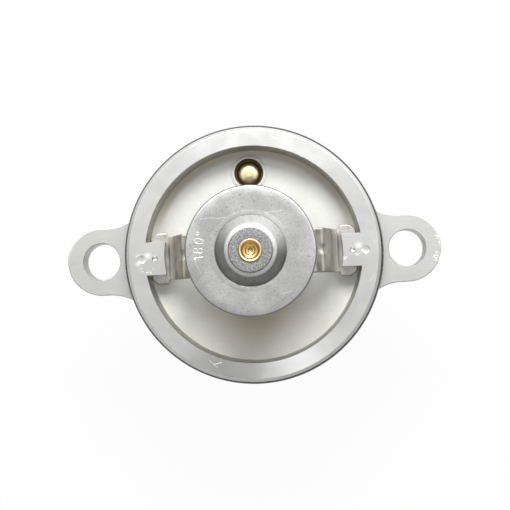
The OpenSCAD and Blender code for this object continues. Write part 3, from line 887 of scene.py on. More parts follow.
class OUTLET_OT_cover(bpy.types.Operator):
    """Cast cover with its turned face, ears, tabs, seat, neck and piston socket"""

    bl_idname = "outlet.cover"
    bl_label = "Cover"

    def execute(self, context):
        settings = context.scene.outlet_cover
        edge = settings.edge / MM
        finishes = [
            turned_aluminium(settings), cast_aluminium(settings), floor_aluminium(settings),
            wall_aluminium(settings)]
        ear_finishes = [finishes[CAST], milled_aluminium(settings)]
        outline = cover_outline(edge, settings.face_edge / MM)
        cover = turned("cover", outline, finishes, shift=burr_shift(outline, settings.burr / MM))
        for side, ear in ((1, nicked(ear_outline())), (-1, ear_outline())):
            join(cover, slab("ear", mirrored(ear, side), -EAR_T, 0.0, edge, ear_finishes, 1))
            self.bolt_hole(cover, side, finishes)
            self.tab(cover, side, finishes)
        self.undercuts(cover, finishes)
        self.bleed_pocket(cover, finishes)
        self.piston_socket(cover, finishes, edge)
        smooth(cover, 32)
        hand_over(cover, "cover", "housing")
        return {"FINISHED"}

    def bolt_hole(self, cover, side, finishes):
        """Clearance hole through an ear, with both edges broken. It starts and ends past the ear."""
        past, top_break, low_break, depth = 1.0, 0.1, 0.2, 0.12
        corners = [
            (0, past, 0), (BOLT_R + top_break + past, past, 0), (BOLT_R + top_break, 0, 0.05),
            (BOLT_R, -depth, 0.05), (BOLT_R, -EAR_T + low_break, 0.05), (BOLT_R + low_break, -EAR_T, 0.05),
            (BOLT_R + low_break + past, -EAR_T - past, 0), (0, -EAR_T - past, 0)]
        centre = (side * EAR_X, 0.0)
        cut(cover, turned("drill", rounded(corners, 2), [finishes[CAST]], FEW_SEGMENTS, centre))

    def tab(self, cover, side, finishes):
        """Tab over a foot of the bridge, with its stake marks."""
        outline = mirrored(tab_outline(), side)
        # The tab's sides take the wall finish and with it its painted shade.
        tab_finishes = [finishes[WALL], finishes[TURNED]]
        join(cover, slab("tab", outline, FACE_Z - TAB_T, FACE_Z, 0.05, tab_finishes, 1))
        for x, radius, depth in STAKES:
            join(cover, stake_lip(side * x, radius))
            cut(cover, stake_tool(side * x, radius, depth))

    def undercuts(self, cover, finishes):
        """Groove at the root of the spigot, and the clearance under the inner ends of the tabs."""
        root_r, groove_r, groove_low, groove_high = SPIGOT_R - 0.01, 30.5, -0.5, 0.7
        groove = [(root_r, groove_high, 0), (root_r, groove_low, 0), (groove_r, groove_low, 0),
                  (groove_r, groove_high, 0)]
        cut(cover, turned("groove", rounded(groove), finishes))
        low, high = FACE_Z - TAB_T - 0.5, FACE_Z - TAB_T + 1.0
        cone = [(0, low, 0), (TAB_INNER_R + 1.2, low, 0), (TAB_INNER_R - 0.3, high, 0), (0, high, 0)]
        cut(cover, turned("cone", rounded(cone), finishes))

    def bleed_pocket(self, cover, finishes):
        """Raised double rim and drilled pocket of the bleed pin."""
        rim_r, step_r, top_r, root_z = 4.4, 4.05, 3.95, FLOOR_Z - 1
        rim = painted(FLOOR, [
            (0, root_z, 0), (rim_r, root_z, 0), (rim_r, FLOOR_Z + 0.12, 0.12),
            (step_r, FLOOR_Z + 0.16, 0.08), (top_r, POCKET_TOP, 0.12), (0, POCKET_TOP, 0)])
        join(cover, turned("boss", rounded(rim, 3), finishes, FEW_SEGMENTS, POCKET_CENTRE))
        pocket_r, bore_r, bottom = 3.35, 1.6, PARTITION_Z - 1
        pocket = painted(WALL, [
            (0, POCKET_TOP + 1, 0), (pocket_r + 1.1, POCKET_TOP + 1, 0), (pocket_r + 0.1, POCKET_TOP, 0.06),
            (pocket_r, POCKET_TOP - 0.12, 0.06), (pocket_r, POCKET_SEAT, 0.1), (bore_r, POCKET_SEAT, 0.1),
            (bore_r, bottom, 0), (0, bottom, 0)])
        cut(cover, turned("drill", rounded(pocket, 3), finishes, FEW_SEGMENTS, POCKET_CENTRE))

    def piston_socket(self, cover, finishes, edge):
        """Cross bar in the neck, with the socket that holds the piston."""
        cast = [finishes[CAST]]
        x, y, low, high = 15.5, 2.0, -23.0, -18.5
        join(cover, slab("bar", [(-x, -y), (x, -y), (x, y), (-x, y)], low, high, 0.5, cast))
        post_r, post_top, post_chamfer = 4.6, -15.5, 1.0
        post = [(0, post_top, 0), (post_r, post_top, edge), (post_r, low, edge),
                (post_r - post_chamfer, low - post_chamfer, edge), (0, low - post_chamfer, 0)]
        join(cover, turned("post", rounded(post), cast, FEW_SEGMENTS))
        socket_r, socket_top, socket_end = 2.06, -14.0, -19.0
        socket = [
            (0, socket_top, 0), (socket_r, socket_top, 0), (socket_r, socket_end, 0), (0, socket_end, 0)]
        cut(cover, turned("socket", rounded(socket), [finishes[TURNED]], segments=64))


# Repeated and swept shapes

class Tree(Nodes):
    """A geometry node tree under construction, with named inputs."""

    def __init__(self, name):
        super().__init__(bpy.data.node_groups.new(name, "GeometryNodeTree"))
        self.tree.interface.new_socket("Geometry", in_out="OUTPUT", socket_type="NodeSocketGeometry")
        self.identifiers = {}
        self.entry = self.add("NodeGroupInput")

    def give(self, name, kind, value=None):
        """A new input of the tree, and the socket that brings it in."""
        socket = self.tree.interface.new_socket(name, in_out="INPUT", socket_type="NodeSocket" + kind)
        if value is not None:
            socket.default_value = value
        self.identifiers[name] = socket.identifier
        return self.entry.outputs[name]

    def tube(self, path, radius, sides, caps=False):
        """A round tube along a path."""
        section = self.add("GeometryNodeCurvePrimitiveCircle", {"Resolution": sides, "Radius": radius})
        inputs = {"Curve": path, "Profile Curve": section.outputs[0], "Fill Caps": caps}
        return self.add("GeometryNodeCurveToMesh", inputs).outputs[0]

    def close(self, geometry, material):
        """Ends the tree in plain geometry with one finish."""
        real = self.add("GeometryNodeRealizeInstances", {"Geometry": geometry})
        even = self.add("GeometryNodeSetShadeSmooth", {"Geometry": real.outputs[0]})
        coated = self.add("GeometryNodeSetMaterial", {"Geometry": even.outputs[0], "Material": material})
        self.add("NodeGroupOutput", {0: coated.outputs[0]})

    def grow(self, name, values):
        """Runs the tree on a new object with these input values and returns it as a plain mesh."""
        piece = new_object(name, bmesh.new(), [])
        modifier = piece.modifiers.new("shape", "NODES")
        modifier.node_group = self.tree
        for key, value in values.items():
            modifier[self.identifiers[key]] = value
        freeze(piece)
        bm = bmesh.new()
        bm.from_mesh(piece.data)
        bmesh.ops.remove_doubles(bm, verts=bm.verts, dist=1e-8)
        bmesh.ops.recalc_face_normals(bm, faces=bm.faces)
        bm.to_mesh(piece.data)
        bm.free()
        return piece


def spring_tree():
    """A coil spring: flat end turns, an even pitch between them and a radius that may change."""
    flat_turns = 0.75
    tree = Tree("coil_spring")
    low = tree.give("Low", "Float", 0.0)
    high = tree.give("High", "Float", 0.01)
    low_r = tree.give("Low Radius", "Float", 0.01)
    high_r = tree.give("High Radius", "Float", 0.01)
    wire = tree.give("Wire Radius", "Float", 0.001)
    turns = tree.give("Turns", "Float", 4.0)
    steps = tree.give("Steps per Turn", "Int", 64)
    sides = tree.give("Wire Sides", "Int", 16)
    material = tree.give("Material", "Material")
    count = tree.math("MULTIPLY", turns, steps)
    line = tree.add("GeometryNodeMeshLine", {"Count": tree.math("ADD", count, 1.0)})
    share = tree.math("DIVIDE", tree.add("GeometryNodeInputIndex").outputs[0], count)
    turn = tree.math("MULTIPLY", share, turns)
    angle = tree.math("MULTIPLY", turn, 2 * pi)
    rising = tree.math("SUBTRACT", turn, flat_turns)
    rising = tree.math("DIVIDE", rising, tree.math("SUBTRACT", turns, 2 * flat_turns), clamp=True)
    lowest = tree.math("ADD", low, wire)
    height = tree.math("SUBTRACT", tree.math("SUBTRACT", high, wire), lowest)
    z = tree.math("ADD", lowest, tree.math("MULTIPLY", height, rising))
    widening = tree.math("MULTIPLY", tree.math("SUBTRACT", high_r, low_r), share)
    radius = tree.math("ADD", low_r, widening)
    x = tree.math("MULTIPLY", radius, tree.math("COSINE", angle))
    y = tree.math("MULTIPLY", radius, tree.math("SINE", angle))
    place = tree.add("ShaderNodeCombineXYZ", {0: x, 1: y, 2: z}).outputs[0]
    bent = tree.add("GeometryNodeSetPosition", {"Geometry": line.outputs[0], "Position": place})
    path = tree.add("GeometryNodeMeshToCurve", {0: bent.outputs[0]})
    tree.close(tree.tube(path.outputs[0], wire, sides, caps=True), material)
    return tree


def ring_tree():
    """A rubber ring of round section."""
    tree = Tree("seal_ring")
    radius = tree.give("Ring Radius", "Float", 0.02)
    cord = tree.give("Cord Radius", "Float", 0.001)
    level = tree.give("Level", "Float", 0.0)
    material = tree.give("Material", "Material")
    circle = tree.add("GeometryNodeCurvePrimitiveCircle", {"Resolution": 256, "Radius": radius})
    ring = tree.tube(circle.outputs[0], cord, 40)
    lift = tree.add("ShaderNodeCombineXYZ", {2: level}).outputs[0]
    placed = tree.add("GeometryNodeTransform", {"Geometry": ring, "Translation": lift})
    tree.close(placed.outputs[0], material)
    return tree


class OUTLET_OT_seal_ring(bpy.types.Operator):
    """Rubber ring in the groove of the spigot"""

    bl_idname = "outlet.seal_ring"
    bl_label = "Seal ring"

    def execute(self, context):
        low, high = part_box("flange_seal")
        cord = (high.z - low.z) / 2
        ring = ring_tree().grow("seal_ring", {
            "Ring Radius": high.x - cord, "Cord Radius": cord, "Level": (low.z + high.z) / 2,
            "Material": seal_rubber()})
        hand_over(ring, "cover", "flange_seal")
        return {"FINISHED"}


# Bridge

class Path:
    """Side view of one bridge arm: lengths along its middle surface give a place and a normal.
    The low bend is at the foot and the high one at the ring. Their radii are those of the upper face."""

    sheet = 1.2
    ring_top = strap_high.z - 1.3
    low_bend_x, high_bend_x = 20.1, 15.65
    low_bend_r, high_bend_r = 1.0, 0.8
    foot_end_x = 24.1
    dish_start, dish_slope = 13.0, 0.14

    def __init__(self):
        half = self.sheet / 2
        self.low_bend = self.low_bend_r + half
        self.high_bend = self.high_bend_r - half
        self.low = Vector((self.low_bend_x, FACE_Z - TAB_T - half + self.low_bend))
        self.high = Vector((self.high_bend_x, self.ring_top - half - self.high_bend))
        run = self.low - self.high
        self.rise = acos(-(self.low_bend + self.high_bend) / run.length) - atan2(run.x, -run.y)
        way = Vector((sin(self.rise), cos(self.rise)))
        self.start = self.high + self.high_bend * way
        self.slope = self.low - self.low_bend * way - self.start
        self.marks = [self.high.x]
        for stretch in (self.high_bend * self.rise, self.slope.length, self.low_bend * self.rise):
            self.marks.append(self.marks[-1] + stretch)
        self.length = self.marks[3] + self.foot_end_x - self.low.x

    def at(self, s):
        """Place (x, z) and upward normal at a length from the middle of the bridge."""
        high_bend, slope, low_bend, foot = self.marks
        if s <= high_bend:
            dish = self.dish_slope * max(0.0, min(high_bend - s, s - self.dish_start))
            normal = Vector((-self.dish_slope if dish else 0.0, 1)).normalized()
            return Vector((s, self.high.y + self.high_bend - dish)), normal
        if s <= slope:
            turn = pi / 2 - (s - high_bend) / self.high_bend
            out = Vector((cos(turn), sin(turn)))
            return self.high + out * self.high_bend, out
        if s <= low_bend:
            way = self.slope.normalized()
            return self.start + way * (s - slope), Vector((-way.y, way.x))
        if s <= foot:
            turn = 1.5 * pi - self.rise + (s - low_bend) / self.low_bend
            out = Vector((cos(turn), sin(turn)))
            return self.low + out * self.low_bend, -out
        return Vector((self.low.x + s - foot, self.low.y - self.low_bend)), Vector((0, 1))


def arm_half_width(path, s):
    """Half the width of the blank: the arm, then the wings of the foot with cut corners."""
    arm, wing, widening, corner, cut_depth = 5.05, 6.05, 0.5, 1.7, 1.25
    wing_start = path.marks[3] - 0.3
    if s < wing_start:
        return arm
    if s < wing_start + widening:
        t = (s - wing_start) / widening
        return arm + (wing - arm) * t * t * (3 - 2 * t)
    into_corner = max(0.0, s - path.length + corner)
    return wing - cut_depth * (into_corner / corner) ** 1.3


def wing_droop(path, s, y):
    """How far a wing of the foot bends down beside the tab: only on the side away from the bleed pin."""
    if y > 0:
        return 0.0
    depth, flat_half, wing_w = 0.42, 3.8, 2.25
    onset = min(1.0, max(0.0, s - path.marks[3]))
    return depth * onset * max(0.0, (-y - flat_half) / wing_w) ** 1.5


def dent(t):
    """A smooth bump that is 1 at 0 and ends at 1."""
    return max(0.0, 1.0 - t * t) ** 2


def dimple(path, s, y):
    """Depth of the pressed dimple beside the high bend."""
    depth, off_middle, half_width, past_bend, half_length = 0.32, 0.3, 1.4, 0.7, 1.6
    return depth * dent((y - off_middle) / half_width) * dent((s - path.marks[0] - past_bend) / half_length)


def arm_lengths(path):
    """Lengths of the cross sections of an arm, close together at the bends and the foot."""
    start, coarse, fine = 7.5, 0.5, 0.16
    lengths = [start]
    while lengths[-1] < path.length - 1e-6:
        s = lengths[-1]
        curved = path.marks[0] - 3.0 < s < path.marks[1] + 4.0 or s > path.marks[2] - 0.2
        lengths.append(min(s + (fine if curved else coarse), path.length))
    return lengths


def arm_section(width, thin, edge, across=40):
    """Closed cross section (y, t) of an arm, with rounded sheet edges."""
    flat = width - edge
    upper = [(flat - 2 * flat * k / across, thin) for k in range(across + 1)]
    quarter = (0.52, 1.05, 1.57)
    left = [(-flat - edge * sin(a), thin - edge * (1 - cos(a))) for a in quarter]
    left += [(y, -t) for y, t in reversed(left)]
    half = upper + left
    return half + [(-y, -t) for y, t in half]


def arm_sweep(side, finish, edge=0.28):
    """One arm of the bridge, swept along its bent path."""
    path = Path()
    half = path.sheet / 2
    bm = bmesh.new()
    loops = []
    for s in arm_lengths(path):
        place, normal = path.at(s)
        tip = min(1.0, (path.length - s) / edge)
        thin = half - edge * (1 - sqrt(max(0.0, 1 - (1 - tip) ** 2)))
        loop = []
        for y, t in arm_section(arm_half_width(path, s), thin, edge):
            y *= side
            spot = place + normal * (t - dimple(path, s, y)) - Vector((0, wing_droop(path, s, y)))
            loop.append(bm.verts.new(Vector((side * spot.x, y, spot.y)) * MM))
        loops.append(loop)
    for one, two in zip(loops, loops[1:]):
        for i in range(len(one)):
            j = (i + 1) % len(one)
            bm.faces.new((one[i], one[j], two[j], two[i]))
    bm.faces.new(loops[0])
    bm.faces.new(loops[-1])
    bmesh.ops.remove_doubles(bm, verts=bm.verts, dist=1e-8)
    bmesh.ops.recalc_face_normals(bm, faces=bm.faces)
    return new_object("arm", bm, [finish])


class OUTLET_OT_bridge(bpy.types.Operator):
    """Bent steel bridge that holds the main spring, with its wings under the tabs"""

    bl_idname = "outlet.bridge"
    bl_label = "Bridge"

    def execute(self, context):
        finish = bridge_steel(context.scene.outlet_valve)
        bore_r, collar_r, ring_r = 6.9, 8.0, 11.6
        low, top, collar_top = Path.ring_top - Path.sheet, Path.ring_top, strap_high.z
        ring = [(bore_r, low, 0.2), (bore_r, collar_top, 0.25), (collar_r, collar_top, 0.35),
                (collar_r, top, 0.35), (ring_r, top, 0.25), (ring_r, low, 0.25)]
        bridge = turned("bridge", rounded(ring), [finish], segments=160)
        for side in (1, -1):
            join(bridge, arm_sweep(side, finish))
        smooth(bridge, 40)
        hand_over(bridge, "cover", "bridge_strap")
        return {"FINISHED"}


# Springs

class OUTLET_OT_springs(bpy.types.Operator):
    """Main spring under the bridge and the small spring under the bypass disc"""

    bl_idname = "outlet.springs"
    bl_label = "Springs"

    def execute(self, context):
        tree = spring_tree()
        shared = {"Wire Sides": context.scene.outlet_valve.wire_sides, "Material": spring_wire()}
        main = {"Low Radius": 11.3 * MM, "High Radius": 9.3 * MM, "Wire Radius": 0.75 * MM, "Turns": 3.25}
        small = {"Low Radius": 4.3 * MM, "High Radius": 4.3 * MM, "Wire Radius": 0.45 * MM, "Turns": 5.0}
        self.spring(tree, "main_spring", "cover", "valve_lift", {**main, **shared}, fixed_high=True)
        self.spring(tree, "bypass_spring", "valve", "bypass_slide", {**small, **shared}, fixed_high=False)
        return {"FINISHED"}

    def spring(self, tree, node, body, joint, values, fixed_high):
        """A spring between the levels of its node's box, handed to its body."""
        low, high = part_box(node)
        piece = tree.grow(node + "_wire", {"Low": low.z, "High": high.z, **values})
        hand_over(piece, body, node)
        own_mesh(piece)


# Valve parts

class OUTLET_OT_main_valve(bpy.types.Operator):
    """Main valve plate, its rubber lip and its push ring"""

    bl_idname = "outlet.main_valve"
    bl_label = "Main valve"

    def execute(self, context):
        settings = context.scene.outlet_valve
        plate = softened("main_valve", 0.12, pressed_steel(settings))
        hand_over(plate, "valve", "main_valve")
        lip = softened("valve_seal", 0.08, seal_rubber())
        hand_over(lip, "valve", "valve_seal")
        retainer = softened("valve_retainer", 0.1, plated_steel(settings))
        hand_over(retainer, "valve", "valve_retainer")
        return {"FINISHED"}


class OUTLET_OT_element(bpy.types.Operator):
    """Wax element: cup, guide, wax, membrane, plug, washer and piston"""

    bl_idname = "outlet.element"
    bl_label = "Wax element"

    def execute(self, context):
        brass = turned_brass(context.scene.outlet_valve)
        for node in ("element_cup", "element_guide"):
            hand_over(softened(node, 0.12, brass), "valve", node)
        hand_over(softened("piston", 0.1, ground_steel()), "cover", "piston")
        rubber = seal_rubber()
        dress("diaphragm", rubber)
        dress("rubber_plug", rubber)
        dress("wax_charge", soft_solid("element_wax", (0.72, 0.62, 0.38), 0.5))
        dress("anti_extrusion_washer", soft_solid("white_plastic", (0.84, 0.84, 0.8), 0.35))
        return {"FINISHED"}


# Bypass disc, washer and pin

def groove_ring(centre, size, turn, depth, wire, finish):
    """A ring-shaped punch for one round of a stamped figure."""
    bm = bmesh.new()
    steps, sides = 36, 8
    rings = []
    for k in range(steps):
        a = 2 * pi * k / steps
        way = Vector((cos(a) * size[0], sin(a) * size[1]))
        out = Vector((cos(a) * size[1], sin(a) * size[0])).normalized()
        ring = []
        for j in range(sides):
            b = 2 * pi * j / sides
            flat = way + out * wire * cos(b)
            ring.append(bm.verts.new(Vector((flat.x, flat.y, wire * sin(b)))))
        rings.append(ring)
    for k in range(steps):
        for j in range(sides):
            i = (j + 1) % sides
            following = rings[(k + 1) % steps]
            bm.faces.new((rings[k][j], rings[k][i], following[i], following[j]))
    place = Matrix.Translation(Vector((*centre, depth))) @ Matrix.Rotation(turn, 4, "Z")
    bm.transform(Matrix.Scale(MM, 4) @ place)
    bmesh.ops.recalc_face_normals(bm, faces=bm.faces)
    return new_object("punch", bm, [finish])


def stroke_tool(start, end, depth, wire, finish):
    """A round-nosed punch for one straight stroke of a stamped figure."""
    bm = bmesh.new()
    run = Vector(end) - Vector(start)
    turn = Matrix.Rotation(atan2(run.y, run.x), 4, "Z") @ Matrix.Rotation(pi / 2, 4, "Y")
    middle = (Vector(start) + Vector(end)) / 2
    place = Matrix.Translation(Vector((*middle, depth)))
    bmesh.ops.create_cone(bm, cap_ends=True, segments=8, radius1=wire, radius2=wire,
                          depth=run.length + wire, matrix=place @ turn)
    bm.transform(Matrix.Scale(MM, 4))
    bmesh.ops.recalc_face_normals(bm, faces=bm.faces)
    return new_object("punch", bm, [finish])


def stamp(disc, finish):
    """Stamps a plain number, 180, and a degree ring into the left of the disc, read upwards."""
    radius, wire = 11.15, 0.09
    depth = DISC_Z + wire * 0.4

    def place(along, up):
        """Place of a point of the mark: along its line of writing, and up from its middle."""
        a = pi - radians(9.5) - along / radius
        return ((radius + up) * cos(a), (radius + up) * sin(a)), a

    foot, head, flag = (place(*point)[0] for point in ((-2.75, -1.0), (-2.75, 1.0), (-3.2, 0.55)))
    tools = [stroke_tool(start, end, depth, wire, finish) for start, end in ((foot, head), (head, flag))]
    eight_low, eight_high = (-1.3, -0.48, 0.52, 0.5), (-1.3, 0.53, 0.44, 0.46)
    zero, degree = (0.75, 0.0, 1.0, 0.52), (2.2, 0.68, 0.3, 0.3)
    for along, up, tall, wide in (eight_low, eight_high, zero, degree):
        centre, a = place(along, up)
        tools.append(groove_ring(centre, (tall, wide), a, depth, wire, finish))
    for tool in tools:
        cut(disc, tool)


class OUTLET_OT_bypass(bpy.types.Operator):
    """Pressed bypass disc with its stamped number, the plated washer and the flared brass pin"""

    bl_idname = "outlet.bypass"
    bl_label = "Bypass valve"

    def execute(self, context):
        settings = context.scene.outlet_valve
        disc = turned("bypass_disc", self.disc_outline(), [pressed_steel(settings)])
        stamp(disc, stamped_steel(settings))
        smooth(disc, 32)
        hand_over(disc, "bypass", "bypass_valve")
        plating = plated_steel(settings)
        washer = turned("bypass_washer_finished", self.washer_outline(), [plating], segments=128)
        hand_over(smooth(washer), "valve", "bypass_washer")
        stem = turned("bypass_stem_finished", self.stem_outline(), [turned_brass(settings)], FEW_SEGMENTS)
        hand_over(smooth(stem), "valve", "bypass_stem")
        return {"FINISHED"}

    def disc_outline(self):
        """Hat round the pin with a groove at its base, a slightly crowned face and a rim turned down."""
        sheet, bore_r, hat_r, shoulder_r, hat_end = 0.8, 1.98, 4.65, 1.8, 46
        groove_r, base_r = 7.7, 8.8
        crown_from, crown_r, crown_end = 12.0, 16.0, 85
        edge_r, edge_drop = 0.55, 0.63
        r, top_z, rim_z = disc_high.x, disc_high.z, DISC_Z - 2.2
        low_z = DISC_Z - sheet
        corners = [
            (bore_r, top_z - sheet, 0.05),
            (bore_r, top_z, 0.1),
            *curve(hat_r, top_z - shoulder_r, shoulder_r, 90, hat_end, 10),
            (groove_r - 0.06, DISC_Z + 0.06, 0.02),
            (groove_r, DISC_Z - 0.04, 0.02),
            (groove_r + 0.08, DISC_Z + 0.06, 0.03),
            (base_r, DISC_Z, 1.0),
            *curve(crown_from, DISC_Z - crown_r, crown_r, 90, crown_end, 5),
            *curve(r - edge_r, DISC_Z - edge_drop, edge_r, crown_end, 0, 12),
            (r, rim_z, 0.12),
            (r - sheet, rim_z, 0.12),
            (r - sheet, low_z - 0.15, 0.2),
            (groove_r + 0.02, low_z, 0.2),
            *curve(hat_r, top_z - shoulder_r, shoulder_r - sheet, hat_end, 90, 6),
        ]
        return rounded(corners)

    def washer_outline(self):
        """Flat ring with a chamfer at its upper edge."""
        bore_r, chamfer = 1.94, 0.2
        low, high, r = washer_low.z, washer_high.z, washer_high.x
        return rounded([
            (bore_r, low, 0.05), (r, low, 0.12), (r, high - chamfer, 0.1), (r - chamfer, high, 0.1),
            (bore_r, high, 0.1)])

    def stem_outline(self):
        """Pin with a collar, and a drilled end flared over the washer."""
        pin_r, collar_r, flare_r = 1.9, 3.0, 2.54
        cup_z, rim_z = stem_low.z + 1.2, washer_high.z
        drilled = (
            (1.6, 0.1, 0.2), (1.15, 0.2, 0.12), (0.92, 0.55, 0.12), (0.5, 0.62, 0.06), (0.38, 0.88, 0.08),
            (0, 0.95, 0))
        corners = [
            (0, stem_low.z, 0),
            (pin_r, stem_low.z, 0.05),
            (pin_r, cup_z, 0.02),
            (collar_r, cup_z, 0.1),
            (collar_r, cup_z + 1.0, 0.2),
            (pin_r, cup_z + 1.2, 0.1),
            (pin_r, rim_z, 0.02),
            (flare_r, rim_z, 0.05),
            (flare_r, rim_z + 0.3, 0.18),
            (flare_r - 0.24, rim_z + 0.6, 0.14),
            (1.98, rim_z + 0.45, 0.12),
            *((r, rim_z - depth, radius) for r, depth, radius in drilled),
        ]
        return rounded(corners, 3)


class OUTLET_OT_bleed_pin(bpy.types.Operator):
    """Loose brass bleed pin and its peened collar"""

    bl_idname = "outlet.bleed_pin"
    bl_label = "Bleed pin"

    def execute(self, context):
        brass = pale_brass()
        shank_r, head_r, dome_r = 1.1, (pin_high.x - pin_low.x) / 2, 1.75
        low, top = pin_low.z, pin_high.z
        corners = [
            (0, low, 0),
            (shank_r, low, 0.1),
            (shank_r, POCKET_SEAT, 0.05),
            (head_r - 0.4, POCKET_SEAT, 0.1),
            (head_r, POCKET_SEAT + 0.5, 0.3),
            *curve(head_r - dome_r, top - 1.82, dome_r, 0, 78, 12),
            (0.8, top - 0.02, 0.4),
            (0, top, 0),
        ]
        pin = turned("bleed_pin", rounded(corners), [brass], segments=80, centre=POCKET_CENTRE)
        hand_over(smooth(pin), "jiggle", "jiggle_pin")
        clearance = 0.04
        wide, low, top = (collar_high.x - collar_low.x) / 2, collar_low.z, collar_high.z - clearance
        ring = [(shank_r, low, 0), (wide, low, 0.3), (wide, top, 0.15), (shank_r, top, 0)]
        collar = turned("bleed_pin_collar", rounded(ring), [brass], segments=64, centre=POCKET_CENTRE)
        hand_over(smooth(collar), "jiggle", "jiggle_collar")
        return {"FINISHED"}


# Stage

def glowing(name, color, shown):
    """A stage material: its colour in the light, and mostly white to the camera, gloss and glass."""
    material = bpy.data.materials.new(name)
    material.use_nodes = True
    material.node_tree.nodes.clear()
    nodes = Nodes(material.node_tree)
    path = nodes.add("ShaderNodeLightPath").outputs
    seen = nodes.either([path["Is Camera Ray"], path["Is Glossy Ray"], path["Is Transmission Ray"]])
    matte = nodes.add("ShaderNodeBsdfDiffuse", {"Color": (*color, 1.0)})
    white = nodes.add("ShaderNodeEmission")
    both = nodes.mix_shaders(nodes.math("MULTIPLY", seen, shown), matte.outputs[0], white.outputs[0])
    nodes.add("ShaderNodeOutputMaterial", {0: both})
    return material


def flat_panel(name, size, place, material):
    """A plain level rectangle of the stage."""
    bm = bmesh.new()
    bmesh.ops.create_grid(bm, x_segments=1, y_segments=1, size=0.5)
    bm.transform(Matrix.Translation(place) @ Matrix.Diagonal((*size, 1.0, 1.0)))
    panel = new_object(name, bm, [material])
    return panel


def background(nodes, strength):
    """White light of a strength from all round, as an output of the world's tree."""
    inputs = {"Color": (1.0, 1.0, 1.0, 1.0), "Strength": strength}
    return nodes.add("ShaderNodeBackground", inputs).outputs[0]


def surround(context, strength):
    """Even soft light, a window beyond the bleed pin in the gloss, and white behind the part."""
    world = bpy.data.worlds.new("surround")
    context.scene.world = world
    world.use_nodes = True
    world.node_tree.nodes.clear()
    nodes = Nodes(world.node_tree)
    direction = nodes.add("ShaderNodeTexCoord").outputs["Generated"]
    window_side = (0.17, 0.985, 0.0)
    toward = nodes.add("ShaderNodeVectorMath", {0: direction, 1: window_side}, operation="DOT_PRODUCT")
    toward = toward.outputs["Value"]
    up = nodes.add("ShaderNodeSeparateXYZ", {0: direction}).outputs[2]
    overhead = nodes.band(up, 0.15, 0.75, 0.06, 1.5)
    overhead = nodes.math("SUBTRACT", overhead, nodes.band(up, 0.9, 1.0, 0.0, 0.6))
    overhead = nodes.both(overhead, nodes.band(toward, -0.2, 0.2, 0.65, 1.35))
    window = nodes.both(nodes.band(up, -0.1, 0.15, 0.6, 1.0), nodes.band(up, 0.5, 0.85, 1.0, 0.0))
    window = nodes.both(window, nodes.band(toward, 0.0, 1.0, 0.0, 2.6))
    path = nodes.add("ShaderNodeLightPath").outputs
    room = background(nodes, nodes.math("ADD", overhead, window))
    light = nodes.mix_shaders(path["Is Glossy Ray"], background(nodes, strength), room)
    seen = nodes.either([path["Is Camera Ray"], path["Is Transmission Ray"]])
    nodes.add("ShaderNodeOutputWorld", {0: nodes.mix_shaders(seen, light, background(nodes, 1.0))})


def lamp(name, place, size, power):
    """A rectangular soft light aimed at the middle of the part."""
    light = bpy.data.lights.new(name, "AREA")
    light.shape = "RECTANGLE"
    light.size, light.size_y = size
    light.energy = power
    holder = bpy.data.objects.new(name, light)
    bpy.context.scene.collection.objects.link(holder)
    turn = Vector(place).to_track_quat("Z", "Y").to_matrix().to_4x4()
    holder.matrix_world = Matrix.Translation(place) @ turn


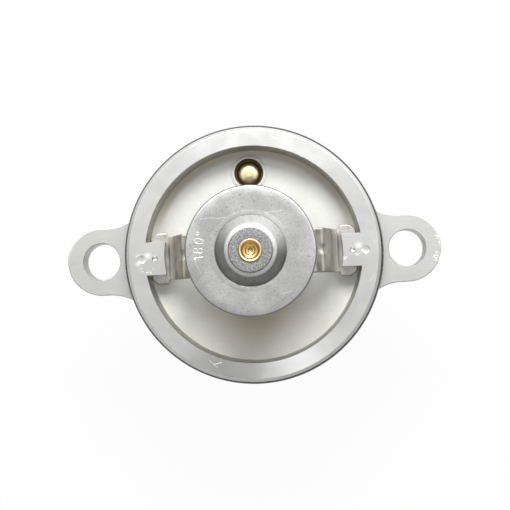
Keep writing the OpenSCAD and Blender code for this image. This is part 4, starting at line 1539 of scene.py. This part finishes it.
class OUTLET_OT_stage(bpy.types.Operator):
    """Pale floor, soft lights and the camera"""

    bl_idname = "outlet.stage"
    bl_label = "Stage"

    def execute(self, context):
        settings = context.scene.outlet_studio
        self.camera(context, settings)
        surround(context, settings.sky)
        pale = glowing("pale_floor", (0.9, 0.9, 0.9), shown=0.95)
        flat_panel("floor", size=(4.0, 4.0), place=(0, 0, NECK_END_Z * MM), material=pale)
        grey = bpy.data.materials.new("grey_card")
        grey.use_nodes = True
        grey.node_tree.nodes["Principled BSDF"].inputs["Base Color"].default_value = (0.04, 0.04, 0.04, 1.0)
        card = flat_panel("upper_card", size=(0.066, 0.42), place=(-0.046, -0.26, 0.6), material=grey)
        card.visible_camera = False
        card.visible_shadow = False
        lamp("key_light", place=(0.04, 0.48, 0.639), size=(0.5, 0.28), power=settings.key_power)
        lamp("side_light", place=(0.0522, -0.195, 0.66), size=(0.045, 0.36), power=settings.side_power)
        context.scene.view_settings.view_transform = "Standard"
        return {"FINISHED"}

    def camera(self, context, settings):
        """Camera at the photograph's angle, nearly straight above the engine side."""
        forward = Vector((tan(settings.aim_right), tan(settings.aim_up), -1.0)).normalized()
        right = forward.cross(Vector((0, 1, 0))).normalized()
        up = right.cross(forward)
        roll = settings.roll
        right, up = cos(roll) * right + sin(roll) * up, cos(roll) * up - sin(roll) * right
        turn = Matrix((right, up, -forward)).transposed().to_4x4()
        data = bpy.data.cameras.new("camera")
        data.sensor_width = 36.0
        data.lens = settings.lens
        data.clip_start = 0.01
        camera = bpy.data.objects.new("camera", data)
        context.scene.collection.objects.link(camera)
        camera.matrix_world = Matrix.Translation(settings.camera_place) @ turn
        context.scene.camera = camera


class OUTLET_PT_panel(bpy.types.Panel):
    """Buttons for each group of pieces, with their settings"""

    bl_idname = "OUTLET_PT_panel"
    bl_label = "Outlet Cover"
    bl_space_type = "VIEW_3D"
    bl_region_type = "UI"
    bl_category = "Outlet Cover"

    def draw(self, context):
        scene = context.scene
        for settings in (scene.outlet_cover, scene.outlet_valve, scene.outlet_studio):
            for name in settings.__annotations__:
                self.layout.prop(settings, name)
        for operator in OPERATORS:
            self.layout.operator(operator.bl_idname)


SETTINGS = {
    "outlet_cover": CoverSettings,
    "outlet_valve": ValveSettings,
    "outlet_studio": StudioSettings,
}
OPERATORS = (
    OUTLET_OT_stage,
    OUTLET_OT_cover,
    OUTLET_OT_seal_ring,
    OUTLET_OT_bridge,
    OUTLET_OT_springs,
    OUTLET_OT_main_valve,
    OUTLET_OT_element,
    OUTLET_OT_bypass,
    OUTLET_OT_bleed_pin,
)


def register():
    for kind in (*SETTINGS.values(), *OPERATORS, OUTLET_PT_panel):
        bpy.utils.register_class(kind)
    for name, kind in SETTINGS.items():
        setattr(bpy.types.Scene, name, PointerProperty(type=kind))


def unregister():
    for name in SETTINGS:
        delattr(bpy.types.Scene, name)
    for kind in (OUTLET_PT_panel, *reversed(OPERATORS), *reversed(SETTINGS.values())):
        bpy.utils.unregister_class(kind)


def main():
    register()
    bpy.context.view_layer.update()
    for operator in OPERATORS:
        group, name = operator.bl_idname.split(".")
        getattr(getattr(bpy.ops, group), name)()
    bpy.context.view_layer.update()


if __name__ == "__main__":
    main()
